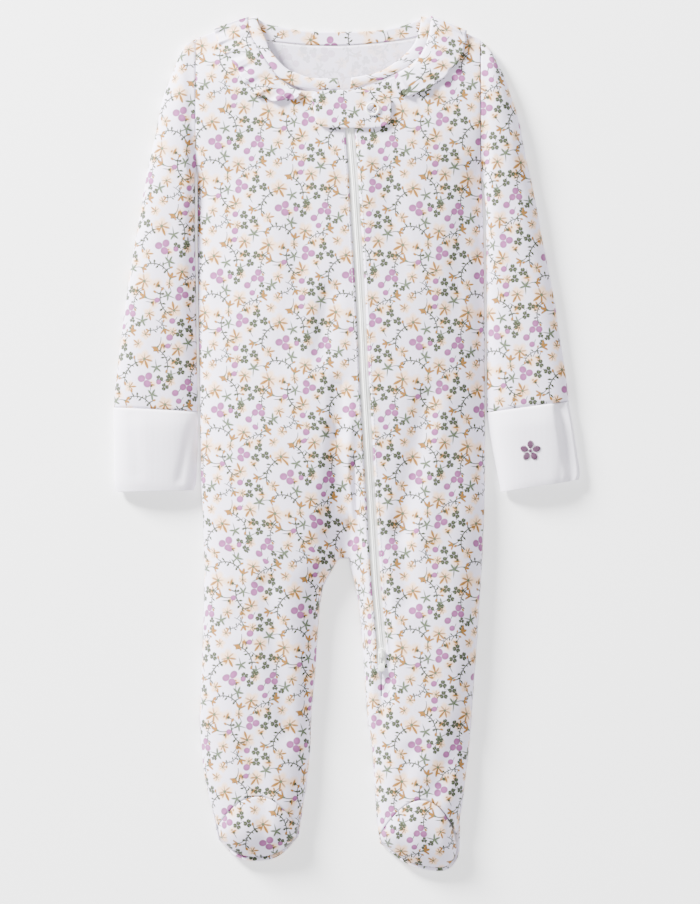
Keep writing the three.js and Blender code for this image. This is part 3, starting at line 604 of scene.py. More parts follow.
def paint_branch(ink, spot, colour):
    local, _ = nearest_motif(ink, spot, "branch")
    x, y = ink.parts(local)
    bend = ink.sum("MULTIPLY_ADD", ink.sum("MULTIPLY", x, x), 0.04, -1.4)
    off_stem = ink.sum("SUBTRACT", y, bend)
    on_length = ink.under(ink.sum("ABSOLUTE", x), 10.4, 0.3)
    stem = ink.sum("MULTIPLY", ink.under(ink.sum("ABSOLUTE", off_stem), 0.46, 0.16), on_length)
    side = ink.sum("SIGN", ink.sum("SINE", ink.sum("MULTIPLY", x, math.pi / 3.4)))
    leaf_spot = ink.joined(ink.sum("WRAP", x, 1.7, -1.7), ink.sum("MULTIPLY", off_stem, side))
    leaves = ink.blot(leaf_spot, (0.4, 1.4), (2.15, 0.8), 0.2, 0.95)
    leaves = ink.sum("MULTIPLY", leaves, ink.under(ink.sum("ABSOLUTE", x), 8.4, 0.1))
    tips = ink.joined(ink.sum("ABSOLUTE", x), y)
    twig = ink.blot(tips, (7.4, -1.1), (2.8, 0.46), 0.4, -0.75)
    buds = ink.blot(tips, (9.4, 2.7), (1.5, 0.95), 0.2, 0.9)
    low_buds = ink.blot(tips, (9.1, -3.0), (1.3, 0.85), 0.2, -0.6)
    colour = ink.painted(colour, stem_green, ink.sum("MAXIMUM", stem, twig))
    colour = ink.painted(colour, leaf_green, leaves)
    return ink.painted(colour, ochre, ink.sum("MAXIMUM", buds, low_buds))


def paint_sprig(ink, spot, colour):
    local, _ = nearest_motif(ink, spot, "sprig")
    x, y = ink.parts(local)
    mirrored = ink.joined(ink.sum("ABSOLUTE", x), y)
    upper = ink.blot(mirrored, (1.3, 1.6), (2.3, 0.78), 0.2, 0.9)
    lower = ink.blot(mirrored, (1.9, -0.7), (2.3, 0.78), 0.2, -0.25)
    stem = ink.blot(local, (0, -1.6), (0.46, 4.2), 0.3)
    leaves = ink.sum("MAXIMUM", upper, lower)
    return ink.painted(colour, leaf_light, ink.sum("MAXIMUM", leaves, stem))


def one_of_three(ink, local, reach, aside=0.0):
    """Folds a spot into one third of a turn, and counts from a place in the middle of that third."""
    x, y = ink.parts(local)
    distance = ink.vector("LENGTH", local)
    angle = ink.sum("WRAP", ink.sum("ARCTAN2", y, x), math.pi / 3, -math.pi / 3)
    near = ink.sum("MULTIPLY_ADD", ink.sum("COSINE", angle), distance, -reach)
    return ink.joined(near, ink.sum("MULTIPLY_ADD", ink.sum("SINE", angle), distance, -aside))


def paint_clover(ink, spot, colour):
    local, _ = nearest_motif(ink, spot, "clover")
    trio = one_of_three(ink, local, 4.3, 0.5)
    leaflet = one_of_three(ink, ink.turned(trio, 0.5), 1.75)
    blade = ink.blot(leaflet, (0, 0), (1.5, 1.65), 0.1)
    notch = ink.blot(leaflet, (1.9, 0), (0.9, 0.35), 0.2)
    blade = ink.sum("SUBTRACT", blade, ink.sum("MINIMUM", notch, blade))
    light = ink.blot(leaflet, (0.15, 0), (0.75, 0.5), 0.35)
    stalks = ink.blot(trio, (-2.4, 0), (2.5, 0.34), 0.35)
    colour = ink.painted(colour, stem_green, stalks)
    colour = ink.painted(colour, leaf_green, blade)
    return ink.painted(colour, leaf_light, ink.sum("MULTIPLY", light, 0.8))


def paint_berries(ink, spot, colour):
    trio, _ = nearest_motif(ink, spot, "berries")
    single, _ = nearest_motif(ink, spot, "berry")
    round_one = one_of_three(ink, trio, 3.1)
    for local, radius, turn in ((round_one, 2.75, 0.4), (single, 2.5, 1.2)):
        body = ink.blot(local, (0, 0), (radius, radius * 0.93), 0.08, turn)
        shine = ink.blot(local, (-0.5, 0.5), (radius * 0.5, radius * 0.42), 0.6)
        colour = ink.painted(colour, berry_mauve, body)
        colour = ink.painted(colour, berry_light, ink.sum("MULTIPLY", shine, 0.45))
    stem = ink.blot(single, (0.3, 3.6), (0.32, 1.7), 0.35, 0.35)
    return ink.painted(colour, stem_green, stem)


def paint_bell(ink, spot, colour):
    local, distance = nearest_motif(ink, spot, "bell")
    x, y = ink.parts(local)
    angle = ink.sum("ARCTAN2", x, y)
    scallops = ink.swells(angle, 4.2)
    reach = ink.sum("MULTIPLY_ADD", scallops, 2.6, 2.9)
    fan = ink.under(ink.sum("SUBTRACT", distance, reach), 0.0, 0.25)
    fan = ink.sum("MULTIPLY", fan, ink.under(ink.sum("ABSOLUTE", angle), 0.86, 0.08))
    rib = ink.sum("MULTIPLY", ink.under(scallops, 0.35, 0.2), fan)
    cup = ink.blot(local, (0, 0.4), (0.75, 1.2), 0.2)
    stalk_x = ink.sum("MULTIPLY_ADD", ink.sum("MULTIPLY", y, y), -0.07, x)
    stalk = ink.under(ink.sum("ABSOLUTE", stalk_x), 0.38, 0.16)
    stalk = ink.sum("MULTIPLY", stalk, ink.under(ink.sum("ABSOLUTE", ink.sum("ADD", y, 3.8)), 3.8, 0.3))
    colour = ink.painted(colour, stem_green, stalk)
    colour = ink.painted(colour, ochre, fan)
    colour = ink.painted(colour, ochre_deep, ink.sum("MULTIPLY", rib, 0.55))
    return ink.painted(colour, leaf_light, cup)


def paint_bud(ink, spot, colour):
    local, _ = nearest_motif(ink, spot, "bud")
    halo = ink.blot(local, (0, 2.1), (3.9, 3.2), 0.4)
    petals = ink.blot(local, (0.2, 1.5), (2.5, 0.9), 0.3, 0.25)
    drops = ink.blot(local, (-1.2, 3.1), (1.0, 0.7), 0.3)
    heart = ink.blot(local, (0, 0.2), (1.25, 1.0), 0.25)
    stalk = ink.blot(local, (0.5, -2.4), (0.36, 2.7), 0.35, 0.25)
    colour = ink.painted(colour, halo_peach, ink.sum("MULTIPLY", halo, 0.85))
    colour = ink.painted(colour, stem_green, stalk)
    colour = ink.painted(colour, ochre, ink.sum("MAXIMUM", petals, drops))
    return ink.painted(colour, leaf_green, heart)


def paint_star(ink, spot, colour):
    local, distance = nearest_motif(ink, spot, "star")
    x, y = ink.parts(local)
    angle = ink.sum("ARCTAN2", y, x)
    lopsided = ink.sum("MULTIPLY_ADD", ink.sum("COSINE", angle), 0.3, 0.92)
    wash_reach = ink.sum("MULTIPLY_ADD", ink.swells(angle, 2.5), 2.2, 4.6)
    wash = ink.under(ink.sum("DIVIDE", distance, wash_reach), 0.88, 0.2)
    uneven = ink.sum("MULTIPLY_ADD", ink.swells(angle, 2.0, 0.6), 2.0, 3.3)
    strokes = ink.swells(angle, 3.5, 0.4)
    pointed = ink.sum("MULTIPLY", ink.sum("POWER", strokes, 1.9), uneven)
    petal_reach = ink.sum("MULTIPLY", ink.sum("ADD", pointed, 0.9), lopsided)
    petal = ink.under(ink.sum("SUBTRACT", distance, petal_reach), 0.0, 0.3)
    deep = ink.under(ink.sum("SUBTRACT", distance, ink.sum("MULTIPLY", petal_reach, 0.62)), 0.0, 0.5)
    heart = ink.under(distance, 1.05, 0.35)
    colour = ink.painted(colour, halo_peach, ink.sum("MULTIPLY", wash, 0.9))
    strength = ink.sum("MULTIPLY_ADD", ink.sum("COSINE", angle), 0.25, 0.75)
    colour = ink.painted(colour, ochre, ink.sum("MULTIPLY", petal, strength))
    colour = ink.painted(colour, ochre_deep, ink.sum("MULTIPLY", deep, 0.45))
    return ink.painted(colour, leaf_light, heart)


def new_surface(name, roughness, specular):
    material = bpy.data.materials.new(name)
    material.use_nodes = True
    surface = material.node_tree.nodes["Principled BSDF"]
    surface.inputs["Roughness"].default_value = roughness
    surface.inputs["Specular IOR Level"].default_value = specular
    return material, material.node_tree, surface


def finish_surface(tree, surface, colour, height, strength, depth):
    """Gives a surface its colour and a relief, whose depth is in metres."""
    relief = {"Strength": strength, "Distance": depth, "Height": height}
    tree.links.new(colour, surface.inputs["Base Color"])
    tree.links.new(shader_node(tree, "ShaderNodeBump", relief), surface.inputs["Normal"])


def cloth_surface(name, paint):
    """Fine jersey: a painted colour, darkened slightly in the low places of its relief (painted shade in
    the knit's grooves, and random tone from noise), knit wales and a soft sheen.
    """
    wale, course = 0.85, 0.7
    material, tree, surface = new_surface(name, 0.88, 0.2)
    surface.inputs["Sheen Weight"].default_value = 0.25
    surface.inputs["Sheen Roughness"].default_value = 0.5
    ink = Inks(tree)
    cloth_map = shader_node(tree, "ShaderNodeUVMap", {}, uv_map="cloth")
    millimetres = ink.vector("MULTIPLY", cloth_map, (1000, 1000, 0))
    colour = paint(ink, millimetres)
    x, y = ink.parts(millimetres)
    wales = ink.sum("SINE", ink.sum("MULTIPLY", x, 2 * math.pi / wale))
    wavy = ink.sum("MULTIPLY_ADD", y, 2 * math.pi / course, ink.sum("MULTIPLY", wales, 0.9))
    knit = ink.sum("MULTIPLY_ADD", ink.sum("SINE", wavy), 0.35, ink.sum("MULTIPLY", wales, 0.5))
    fuzz = shader_node(tree, "ShaderNodeTexNoise", {"Vector": millimetres, "Scale": 0.55, "Detail": 6})
    height = ink.sum("MULTIPLY_ADD", fuzz, 1.6, knit)
    # Painted shade: the colour is darkened slightly where the relief is low, in the knit's grooves and
    # in the noise, which also gives random tone.
    relief_shade_and_tone = ink.sum("MULTIPLY_ADD", height, 0.014, 0.985)
    shaded = {0: colour, "Scale": relief_shade_and_tone}
    shaded_and_toned = shader_node(tree, "ShaderNodeVectorMath", shaded, operation="SCALE")
    finish_surface(tree, surface, shaded_and_toned, height, 0.28, 0.00018)
    return material


def flower_print(ink, millimetres):
    spot = ink.turned(millimetres, math.radians(45))
    leafy = (paint_branch, paint_sprig, paint_clover)
    colour = cloth_white
    for paint in (paint_star, paint_bud, *leafy, paint_bell, paint_berries):
        colour = paint(ink, spot, colour)
    return colour


def print_seen_from_behind(ink, millimetres):
    shown = flower_print(ink, ink.vector("MULTIPLY", millimetres, (-1, 1, 0)))
    return ink.painted(reverse_white, shown, 0.24)


def plain_white(ink, millimetres):
    return ink.painted(cuff_white, cuff_shade, 0.5)


printed_jersey = cloth_surface("printed jersey", flower_print)
reverse_jersey = cloth_surface("reverse of the jersey", print_seen_from_behind)
cuff_jersey = cloth_surface("cuff jersey", plain_white)


# Fronts

right_front_sections = table("outer_x outer_y inner_x inner_y", [
    (-105.5, 283, -71, 296),
    (-105.5, 275.5, -70, 289.5),
    (-105.5, 267, -68, 283),
    (-105.5, 257, -63.5, 276),
    (-105.5, 246, -58, 266.5),
    (-105.5, 235, -50.5, 256),
    (-105.5, 223.5, -36, 246.5),
    (-105.5, 212.5, -19, 245),
    (-105.5, 202, -4.3, 245.5),
    (-105.2, 194, -3, 233.5),
    (-104.5, 186, -1.5, 219.5),
    (-104.5, 167, 1, 190),
    (-104.5, 146, 2.5, 160),
    (-104, 124, 4.5, 130),
    (-104, 99, 6.2, 100.5),
    (-103.5, 72.5, 7.5, 72.5),
    (-103, 46, 8.6, 46),
    (-103, 22, 10, 22),
    (-102.5, -2, 11.3, -2),
    (-102, -25.5, 12.7, -25.5),
    (-101, -48, 14, -48),
    (-100, -67, 15, -67),
    (-100, -80, 15.8, -80),
])
left_front_sections = table("outer_x outer_y inner_x inner_y", [
    (93, 282.5, 60.5, 297),
    (93, 275.5, 59.5, 291),
    (93, 267, 58.5, 284),
    (93, 257, 56, 276),
    (93, 246, 52, 269),
    (93, 235, 45, 263),
    (93, 223.5, 35, 257),
    (93, 212.5, 23, 251.5),
    (93, 202, 2.6, 245.5),
    (93.5, 194, 3.7, 233.5),
    (94, 186, 5.2, 219.5),
    (95, 167, 7.4, 190),
    (95.5, 146, 9.2, 160),
    (96, 124, 11.2, 130),
    (96, 99, 12.8, 100.5),
    (96.5, 72.5, 14, 72.5),
    (96.5, 46, 15.2, 46),
    (96.5, 22, 16.6, 22),
    (96.5, -2, 18, -2),
    (96.5, -25.5, 19.3, -25.5),
    (96, -48, 20.6, -48),
    (95, -67, 21.7, -67),
    (94.5, -80, 22.5, -80),
])
body_rows = 150
leg_rows = 84
leg_columns = 56
strip_columns = 10
vamp_seam_y = -268
leg_share = 0.826
strip_share = 0.883


def spread(share, round_end):
    """Shares across a panel, closer together near edges that round away."""
    one_end = 1 - math.cos(share * math.pi / 2)
    both_ends = (1 - math.cos(share * math.pi)) / 2
    return mix(mix(one_end, share, 0.35), both_ends, round_end)


def bow(share):
    return 1 - abs(2 * share - 1) ** 2.1


def leg_row_y(row):
    return mix(crotch_y, vamp_seam_y, (row - body_rows) / leg_rows)


def bow_height(y):
    return 22 * smooth(-200, vamp_seam_y - 8, y) / smooth(-200, vamp_seam_y - 8, vamp_seam_y)


zip_end_row = body_rows + round(leg_rows * (crotch_y - zip_end_y) / (crotch_y - vamp_seam_y))
front_rows = body_rows + leg_rows
zip_end_seam_y = leg_row_y(zip_end_row)


def right_front_place(down, across):
    row = round(down * front_rows)
    column = round(across * (leg_columns + 1 + strip_columns))
    in_strip = column > leg_columns
    strip = (column - leg_columns - 1) / strip_columns
    if row <= body_rows:
        section = along_rows(right_front_sections, row / body_rows)
        near_crotch = 1 - smooth(crotch_y, 40, section["outer_y"])
        share = leg_share * spread(column / leg_columns, near_crotch * 0.8)
        if in_strip:
            share = mix(strip_share, 1, strip)
        x = mix(section["outer_x"], section["inner_x"], share)
        return on_front(x, mix(section["outer_y"], section["inner_y"], share))
    y = leg_row_y(row)
    if in_strip:
        x = mix(read_at(left_leg, y, "inner"), zip_x(y) - zip_opening(y), strip)
        return on_front(x, y)
    share = spread(column / leg_columns, 0.8 + 0.2 * smooth(-80, -110, y))
    return on_front(across_leg(right_leg, y, share), y + bow_height(y) * bow(share))


def right_front_keeps(row, column):
    if row < body_rows:
        return True
    return column < leg_columns or (column > leg_columns and row < zip_end_row)


def left_front_place(down, across):
    row = round(down * front_rows)
    column = round(across * (leg_columns + strip_columns))
    if row <= body_rows:
        section = along_rows(left_front_sections, row / body_rows)
        share = spread(min(column / leg_columns, 1), 0)
        x = mix(section["outer_x"], section["inner_x"], share)
        return on_front(x, mix(section["outer_y"], section["inner_y"], share))
    y = leg_row_y(row)
    outer, inner = read_at(left_leg, y, "outer"), read_at(left_leg, y, "inner")
    zip_edge = zip_x(y) + zip_opening(y)
    toward_inner = max(column - leg_columns, 0) / strip_columns
    slit_x = mix(mix(outer, zip_edge, spread(min(column / leg_columns, 1), 0)), inner, toward_inner)
    even_x = mix(outer, inner, spread(column / (leg_columns + strip_columns), 1))
    x = mix(slit_x, even_x, smooth(zip_end_y - 1, -215, y))
    share = clamp((x - outer) / (inner - outer), 0, 1)
    lowered = 6 * smooth(-215, vamp_seam_y, y)
    return on_front(x, y + bow_height(y) * 1.16 * bow(share ** 0.86) - lowered)


def left_front_keeps(row, column):
    return column < leg_columns or row >= zip_end_row


# The fronts are sewn into one below the zip, where the left one runs on to the inseam.

right_panel = flat_panel(
    front_rows, leg_columns + 1 + strip_columns, right_front_place, keep=right_front_keeps,
    start=1, grain=0,
)
left_panel = flat_panel(
    front_rows, leg_columns + strip_columns, left_front_place, keep=left_front_keeps,
    start=0.8, grain=0,
)
left_data = bpy.data.meshes.new("left front")
left_panel.to_mesh(left_data)
left_panel.free()
right_corners = set(right_panel.verts)
right_panel.from_mesh(left_data)
seam_start, seam_end = -5 * MM, (zip_x(zip_end_seam_y) - 0.5) * MM
below_zip = [
    vert for vert in right_panel.verts
    if abs(vert.co.y - zip_end_seam_y * MM) < 0.02 * MM and seam_start < vert.co.x < seam_end
]
right_side = [vert for vert in below_zip if vert in right_corners]
joined_corners = {}
for vert in below_zip:
    if vert not in right_corners:
        nearest = min(right_side, key=lambda other: (other.co - vert.co).length)
        if (nearest.co - vert.co).length < fronts_weld:
            joined_corners[vert] = nearest
bmesh.ops.weld_verts(right_panel, targetmap=joined_corners)
fronts = finish_piece(
    "front_panels", right_panel, (printed_jersey, reverse_jersey),
    replaced=("right_front", "left_front"),
)
thicken(fronts, cloth_thickness)

# Back: one panel that lies flat under everything, with its reverse side up

back_top = table("x y", [
    (-105.5, 283),
    (-101, 284.7),
    (-88, 289.7),
    (-71, 296.3),
    (-67.4, 286),
    (-56.2, 281.2),
    (-29, 278.2),
    (-3.5, 277.7),
    (23, 279.7),
    (45.2, 282.7),
    (55.8, 285.4),
    (61.2, 296.5),
    (68, 293.4),
    (76, 289.7),
    (89, 284),
    (93, 282.5),
])
back_rows_y = [252, 225, 187, 150, 110, 70, 30, -10, -45, -70, -80.5, -90, -100, -115, -135,
               -160, -190, -215, -240, -258]
back_shares = [0, 0.03, 0.1, 0.19, 0.29, 0.38, 0.44, 0.488, 0.522, 0.56, 0.62, 0.71, 0.81, 0.9, 0.97, 1]
back_leg_shares = [0, 0.06, 0.22, 0.4, 0.6, 0.78, 0.94, 1]
neck_shares = [0, 0.22, 0.55]
neck_rows = len(neck_shares)
neck_columns = range(4, 11)
back_column_count = len(back_top)
crotch_column = 7
back_height = 1.4
edge_lift = 1.0
finer = 4


def back_point(row, column):
    at_edge = column in {0, back_column_count - 1}
    if row < neck_rows:
        top, y, share = back_top[column], back_rows_y[0], neck_shares[row]
        x = mix(top["x"], across_body(y, back_shares[column]), share)
        lifted = at_edge or (row == 0 and column not in neck_columns)
        return Vector((x, mix(top["y"], y, share), back_height + edge_lift * lifted))
    y = back_rows_y[row - neck_rows]
    if y > crotch_y:
        return Vector((across_body(y, back_shares[column]), y, back_height + edge_lift * at_edge))
    leg = right_leg if column <= crotch_column else left_leg
    share = back_leg_shares[min(column, back_column_count - 1 - column)]
    return Vector((across_leg(leg, y, share), y, back_height + edge_lift * (share in {0, 1})))


def between_points(points, down, across):
    """A place on the flat stretches between a few rows of points."""
    row, column = down * (len(points) - 1), across * (len(points[0]) - 1)
    i, j = min(int(row), len(points) - 2), min(int(column), len(points[0]) - 2)
    upper = points[i][j].lerp(points[i][j + 1], column - j)
    lower = points[i + 1][j].lerp(points[i + 1][j + 1], column - j)
    return upper.lerp(lower, row - i)


back_row_count = neck_rows + len(back_rows_y)
back_points = [
    [back_point(row, column) for column in range(back_column_count)] for row in range(back_row_count)
]
crotch_row = neck_rows + next(at for at, y in enumerate(back_rows_y) if y < crotch_y)
back_panel = flat_panel(
    (back_row_count - 1) * finer,
    (back_column_count - 1) * finer,
    lambda down, across: between_points(back_points, down, across),
    keep=lambda row, column: column // finer != crotch_column or row // finer < crotch_row,
    origin=(12, 31),
    grain=0,
)
back = finish_piece(
    "back_panel", back_panel, (reverse_jersey, printed_jersey), replaced=("back",)
)
thicken(back, back_height - 0.1, hem=1)

# Sleeves and cuffs: flattened tubes, each section running from the outer edge to the inner edge

right_sleeve_sections = table("outer_x outer_y inner_x inner_y loft", [
    (-105.4, 283, -105.4, 187, 12),
    (-111.5, 279.5, -106, 181.5, 12.5),
    (-116, 273.5, -106, 174.5, 13),
    (-120.5, 263, -106, 166, 13),
    (-124.5, 252.5, -106, 156.5, 13),
    (-129, 240.5, -106, 146.5, 13),
    (-134.5, 214, -106, 132.5, 13),
    (-140, 188, -105.6, 116.5, 12.5),
    (-145.5, 156.5, -105.4, 99, 12.5),
    (-151, 125, -105.2, 81.5, 12),
    (-155.5, 93.5, -105, 64, 11.5),
    (-159.5, 62, -104.6, 44.5, 11),
    (-162.3, 37.5, -104.3, 30.5, 10.5),
    (-163.2, 25.4, -104.2, 22.4, 10),
])
left_sleeve_sections = table("outer_x outer_y inner_x inner_y loft", [
    (93.2, 282, 93.4, 187, 12),
    (97.5, 278, 95, 181.5, 12.5),
    (102, 272, 96, 174.5, 13),
    (106.5, 263.5, 96.6, 166, 13),
    (111, 254.5, 97, 156.5, 13),
    (114.5, 244, 97.1, 146.5, 13),
    (120, 226.5, 97.3, 132.5, 13),
    (125.5, 198.5, 97.4, 116.5, 12.5),
    (131, 174, 97.5, 99, 12.5),
    (137.5, 138, 97.5, 81, 12),
    (144, 106, 97.6, 64, 11.5),
    (149.5, 70.5, 97.6, 44.5, 11),
    (153, 48, 97.6, 30.5, 10.5),
    (154.9, 29.8, 97.5, 21.7, 10),
])
right_cuff_sections = table("outer_x outer_y inner_x inner_y loft", [
    (-163.3, 25.4, -104.1, 22.4, 10),
    (-163.4, 14, -103.9, 13, 11.5),
    (-163.2, 2.5, -104.1, 2.5, 11.5),
    (-163, -15.5, -105, -15.5, 10.5),
    (-162.5, -27.5, -105.6, -27, 9.5),
    (-160.5, -34, -107, -32.8, 8.5),
])
left_cuff_sections = table("outer_x outer_y inner_x inner_y loft", [
    (155, 29.8, 97.4, 21.7, 10),
    (156.8, 19, 98.8, 12, 11.5),
    (158.4, 9.5, 100.5, 2.5, 11.5),
    (161.2, -8, 104, -15.5, 10.5),
    (163, -20.5, 106.6, -28.5, 9.5),
    (162, -25.5, 107.6, -34, 8.5),
])
sleeve_edge = 2.6
under_turn = 0.19
tube_columns = 96
sleeve_rows = 130
cuff_rows = 44


def tube_point(section, around, top_height):
    """A point round a flattened tube. It starts and ends in the middle of the underside."""
    start = Vector((section["outer_x"], section["outer_y"], 0))
    end = Vector((section["inner_x"], section["inner_y"], 0))
    if under_turn <= around <= 1 - under_turn:
        share = (1 - math.cos(math.pi * (around - under_turn) / (1 - 2 * under_turn))) / 2
        point = start.lerp(end, share)
        point.z = max(top_height(share, point), sleeve_edge)
        return point
    from_middle = around / under_turn if around < 0.5 else (1 - around) / under_turn
    share = 0.5 - 0.5 * from_middle if around < 0.5 else 0.5 + 0.5 * from_middle
    point = start.lerp(end, share)
    point.z = sleeve_edge * smooth(0.9, 1, from_middle) ** 0.7
    return point


def seam_dip(distance):
    return 0.9 * math.exp(-((distance / 1.1) ** 2))


def make_tube(name, rows, place, materials, origin, grain):
    tube = cloth_grid(rows, tube_columns, place, origin=origin, round_tube=True, grain=grain)
    bmesh.ops.recalc_face_normals(tube, faces=tube.faces)
    outside = sum(face.normal.z for face in tube.faces if face.calc_center_median().z > 0.006)
    if outside < 0:
        bmesh.ops.reverse_faces(tube, faces=tube.faces)
    piece = finish_piece(f"{name}_tube", tube, materials, replaced=(name,))
    thicken(piece, cloth_thickness)
    return piece


def make_sleeve(name, sections, origin, grain):
    last = len(sections) - 1

    def place(down, around):
        section = along_rows(sections, down)
        from_cuff = (1 - down) * 11 * last

        def top(share, point):
            lofted = section["loft"] + fold_height(point.x, point.y) - seam_dip(from_cuff)
            own = sleeve_edge + (lofted - sleeve_edge) * across_loft(share, 0, 1)
            armhole = front_height(clamp(point.x, -105.4, 92.9), clamp(point.y, 180, 283))
            return mix(armhole, own, smooth(0, 4, down * last)) - seam_dip(down * last * 5)

        return tube_point(section, around, top)

    materials = (printed_jersey, reverse_jersey)
    make_tube(name, sleeve_rows, place, materials, origin, grain)


def make_cuff(name, sections, under_layer):
    def place(down, around):
        section = along_rows(sections, down)

        def top(share, point):
            lofted = sleeve_edge + (section["loft"] - sleeve_edge) * across_loft(share, 0, 1)
            lofted += cuff_folds(point.x, point.y, share)
            step = smooth(under_layer - 0.06, under_layer + 0.06, share)
            return mix(min(lofted, 5.2), lofted, step) - seam_dip(down * 58)

        return tube_point(section, around, top)

    return make_tube(name, cuff_rows, place, (cuff_jersey,), (0, 0), 0)


def cuff_folds(x, y, share):
    return fold_height(x, y) * min(1, 6 * share, 6 * (1 - share))


make_sleeve("right_sleeve", right_sleeve_sections, (7, 44), -0.13)
make_sleeve("left_sleeve", left_sleeve_sections, (29, 9), 0.15)
make_cuff("right_cuff", right_cuff_sections, -0.2)
left_cuff = make_cuff("left_cuff", left_cuff_sections, 0.16)

# Neckband: a ribbon from one front edge round the back of the neck to the other.
# It folds over at each shoulder, where lift falls from the front's height to the back's.

neckband_sections = table("open_x open_y seam_x seam_y lift", [
    (-6.5, 254.5, -4.2, 246.2, 1),
    (-17.5, 254, -17.5, 245.7, 1),
    (-27.5, 255, -31.5, 247.2, 1),
    (-35.5, 258, -40.5, 250.6, 1),
    (-42, 261, -48, 255.4, 1),
    (-48, 267, -55, 265, 1),
    (-53.5, 274.5, -61.5, 274.8, 1),
    (-57.5, 284, -66.5, 282.5, 1),
    (-61, 291.5, -68.7, 290, 1),
    (-62, 296.3, -69.8, 295, 0.9),
    (-62.2, 298.4, -70, 297.3, 0.55),
    (-61.6, 296.8, -69, 294.5, 0),
    (-58, 294.5, -66.2, 287, 0),
    (-49.5, 292, -56, 282, 0),
    (-29, 288.5, -29, 279, 0),
    (-3.5, 288, -3.5, 278.5, 0),
    (22, 289, 23, 280.5, 0),
    (40, 292.7, 45, 283.6, 0),
    (48, 295.7, 54, 287, 0),
    (51.2, 297.2, 58.8, 295, 0),
    (51.8, 298.8, 59.6, 297.6, 0.55),
    (51.6, 296.6, 59.4, 295.6, 0.9),
    (51, 291, 58.8, 290.5, 1),
    (49.3, 285, 57.5, 283.5, 1),
    (46, 277.5, 54.9, 275.8, 1),
    (39, 270, 51, 269, 1),
    (30, 263, 44.2, 262.8, 1),
    (21.5, 258.5, 34.2, 257.5, 1),
    (12, 256, 22.5, 252.2, 1),
    (3, 254.5, 2.2, 246.4, 1),
])


def neckband_place(along, across):
    row = along_rows(neckband_sections, along)
    lift = clamp(row["lift"], 0, 1)
    seam = front_height(row["seam_x"], min(row["seam_y"], 294)) + 0.4
    crown = 0.8 * math.sin(across * math.pi) ** 0.7 * (0.3 + 0.7 * lift)
    height = lift * seam + (1 if lift > 0.3 else -1) * crown * lift
    return Vector((
        mix(row["open_x"], row["seam_x"], across),
        mix(row["open_y"], row["seam_y"], across),
        height,
    ))


band_rows = 6 * (len(neckband_sections) - 1)
band = cloth_grid(band_rows, 8, neckband_place, origin=(40, 20), start=0)
front_faces = [face for face in band.faces if face.calc_center_median().z > 0.006]
if sum(face.normal.z for face in front_faces) < 0:
    bmesh.ops.reverse_faces(band, faces=band.faces)
neckband = finish_piece(
    "neckband_ribbon", band, (printed_jersey,), replaced=("neckband",)
)
thicken(neckband, 1.4)

# Collar ruffles: from the neck seam outwards over the front, in soft flutes

right_ruffle_sections = table("inner_x inner_y outer_x outer_y", [
    (-71.2, 297.6, -93, 290.7),
    (-70.6, 290.5, -91.2, 283),
    (-68.4, 283, -88, 275),
    (-63.4, 275, -82.5, 269),
    (-60.6, 270.5, -76.5, 262),
    (-57.4, 264.5, -74.5, 256),
    (-53, 258.5, -70, 249),
    (-49.2, 253.3, -65.5, 244),
    (-44.6, 250, -59.5, 240.5),
    (-40, 247.2, -50, 238.5),
    (-35.5, 245.6, -40.5, 239),
    (-32, 244.8, -33, 242),
])
left_ruffle_sections = table("inner_x inner_y outer_x outer_y", [
    (61, 298, 83.5, 289),
    (60.6, 291, 83.5, 282),
    (59.2, 284, 82, 275),
    (56.4, 275.8, 79, 268),
    (53.2, 269.8, 74, 262),
    (48.6, 264.6, 69.5, 256.5),
    (44.8, 261.4, 64, 251.5),
    (41, 259, 58, 246.5),
    (38.6, 257.6, 50.5, 243.5),
    (36.4, 256.5, 43.5, 242),
    (34.6, 255.6, 39, 241.8),
    (33.2, 254.4, 35.5, 243.8),
])


def make_ruffle(name, sections, origin, flute_height):
    def place(along, across):
        row = along_rows(sections, along)
        under_band = mix(-0.11, 1, across)
        x = mix(row["inner_x"], row["outer_x"], under_band)
        y = mix(row["inner_y"], row["outer_y"], under_band)
        turn = 2 * math.pi * (8 * along + 0.5 * math.sin(5 * along))
        flute = 1 + math.sin(turn) + 0.35 * math.sin(2.3 * turn + 1)
        tucked = 1.1 * math.exp(-across * 14)
        plump = 0.5 * math.sin(across * math.pi) ** 2
        raised = 1.7 - tucked + flute_height * flute * across ** 1.3 + plump
        scallop = 0.5 * math.sin(turn + 0.8) * across ** 2
        return on_front(x + scallop * 0.4, y - scallop, raised)

    panel = flat_panel(120, 14, place, origin=origin, start=0)
    piece = finish_piece(f"{name}_frill", panel, (printed_jersey,), replaced=(name,))
    thicken(piece, 0.9)


make_ruffle("right_ruffle", right_ruffle_sections, (10, 55), 0.8)
make_ruffle("left_ruffle", left_ruffle_sections, (50, 33), 0.6)

# Zip: woven tape over its coil, a slider with a pull, and a stop

def plain_surface(name, colour, roughness, specular=0.4, woven=False):
    """A plain finish, darkened slightly in the low places of its noise relief (painted shade, which also
    reads as random tone), and a fine weave on tape and thread.
    """
    material, tree, surface = new_surface(name, roughness, specular)
    place = shader_node(tree, "ShaderNodeTexCoord", {}, "Object")
    grain = {"Vector": place, "Scale": 900.0 if woven else 140.0}
    cloudy = shader_node(tree, "ShaderNodeTexNoise", grain)
    # Painted shade: the darker colour goes where the noise relief is low, so the same noise gives both
    # relief and shade.
    low_place_shade = [channel * 0.93 for channel in colour[:3]] + [1]
    shade_and_tone = Inks(tree).painted(low_place_shade, colour, cloudy)
    finish_surface(tree, surface, shade_and_tone, cloudy, 0.35 if woven else 0.08, 0.00012)
    return material


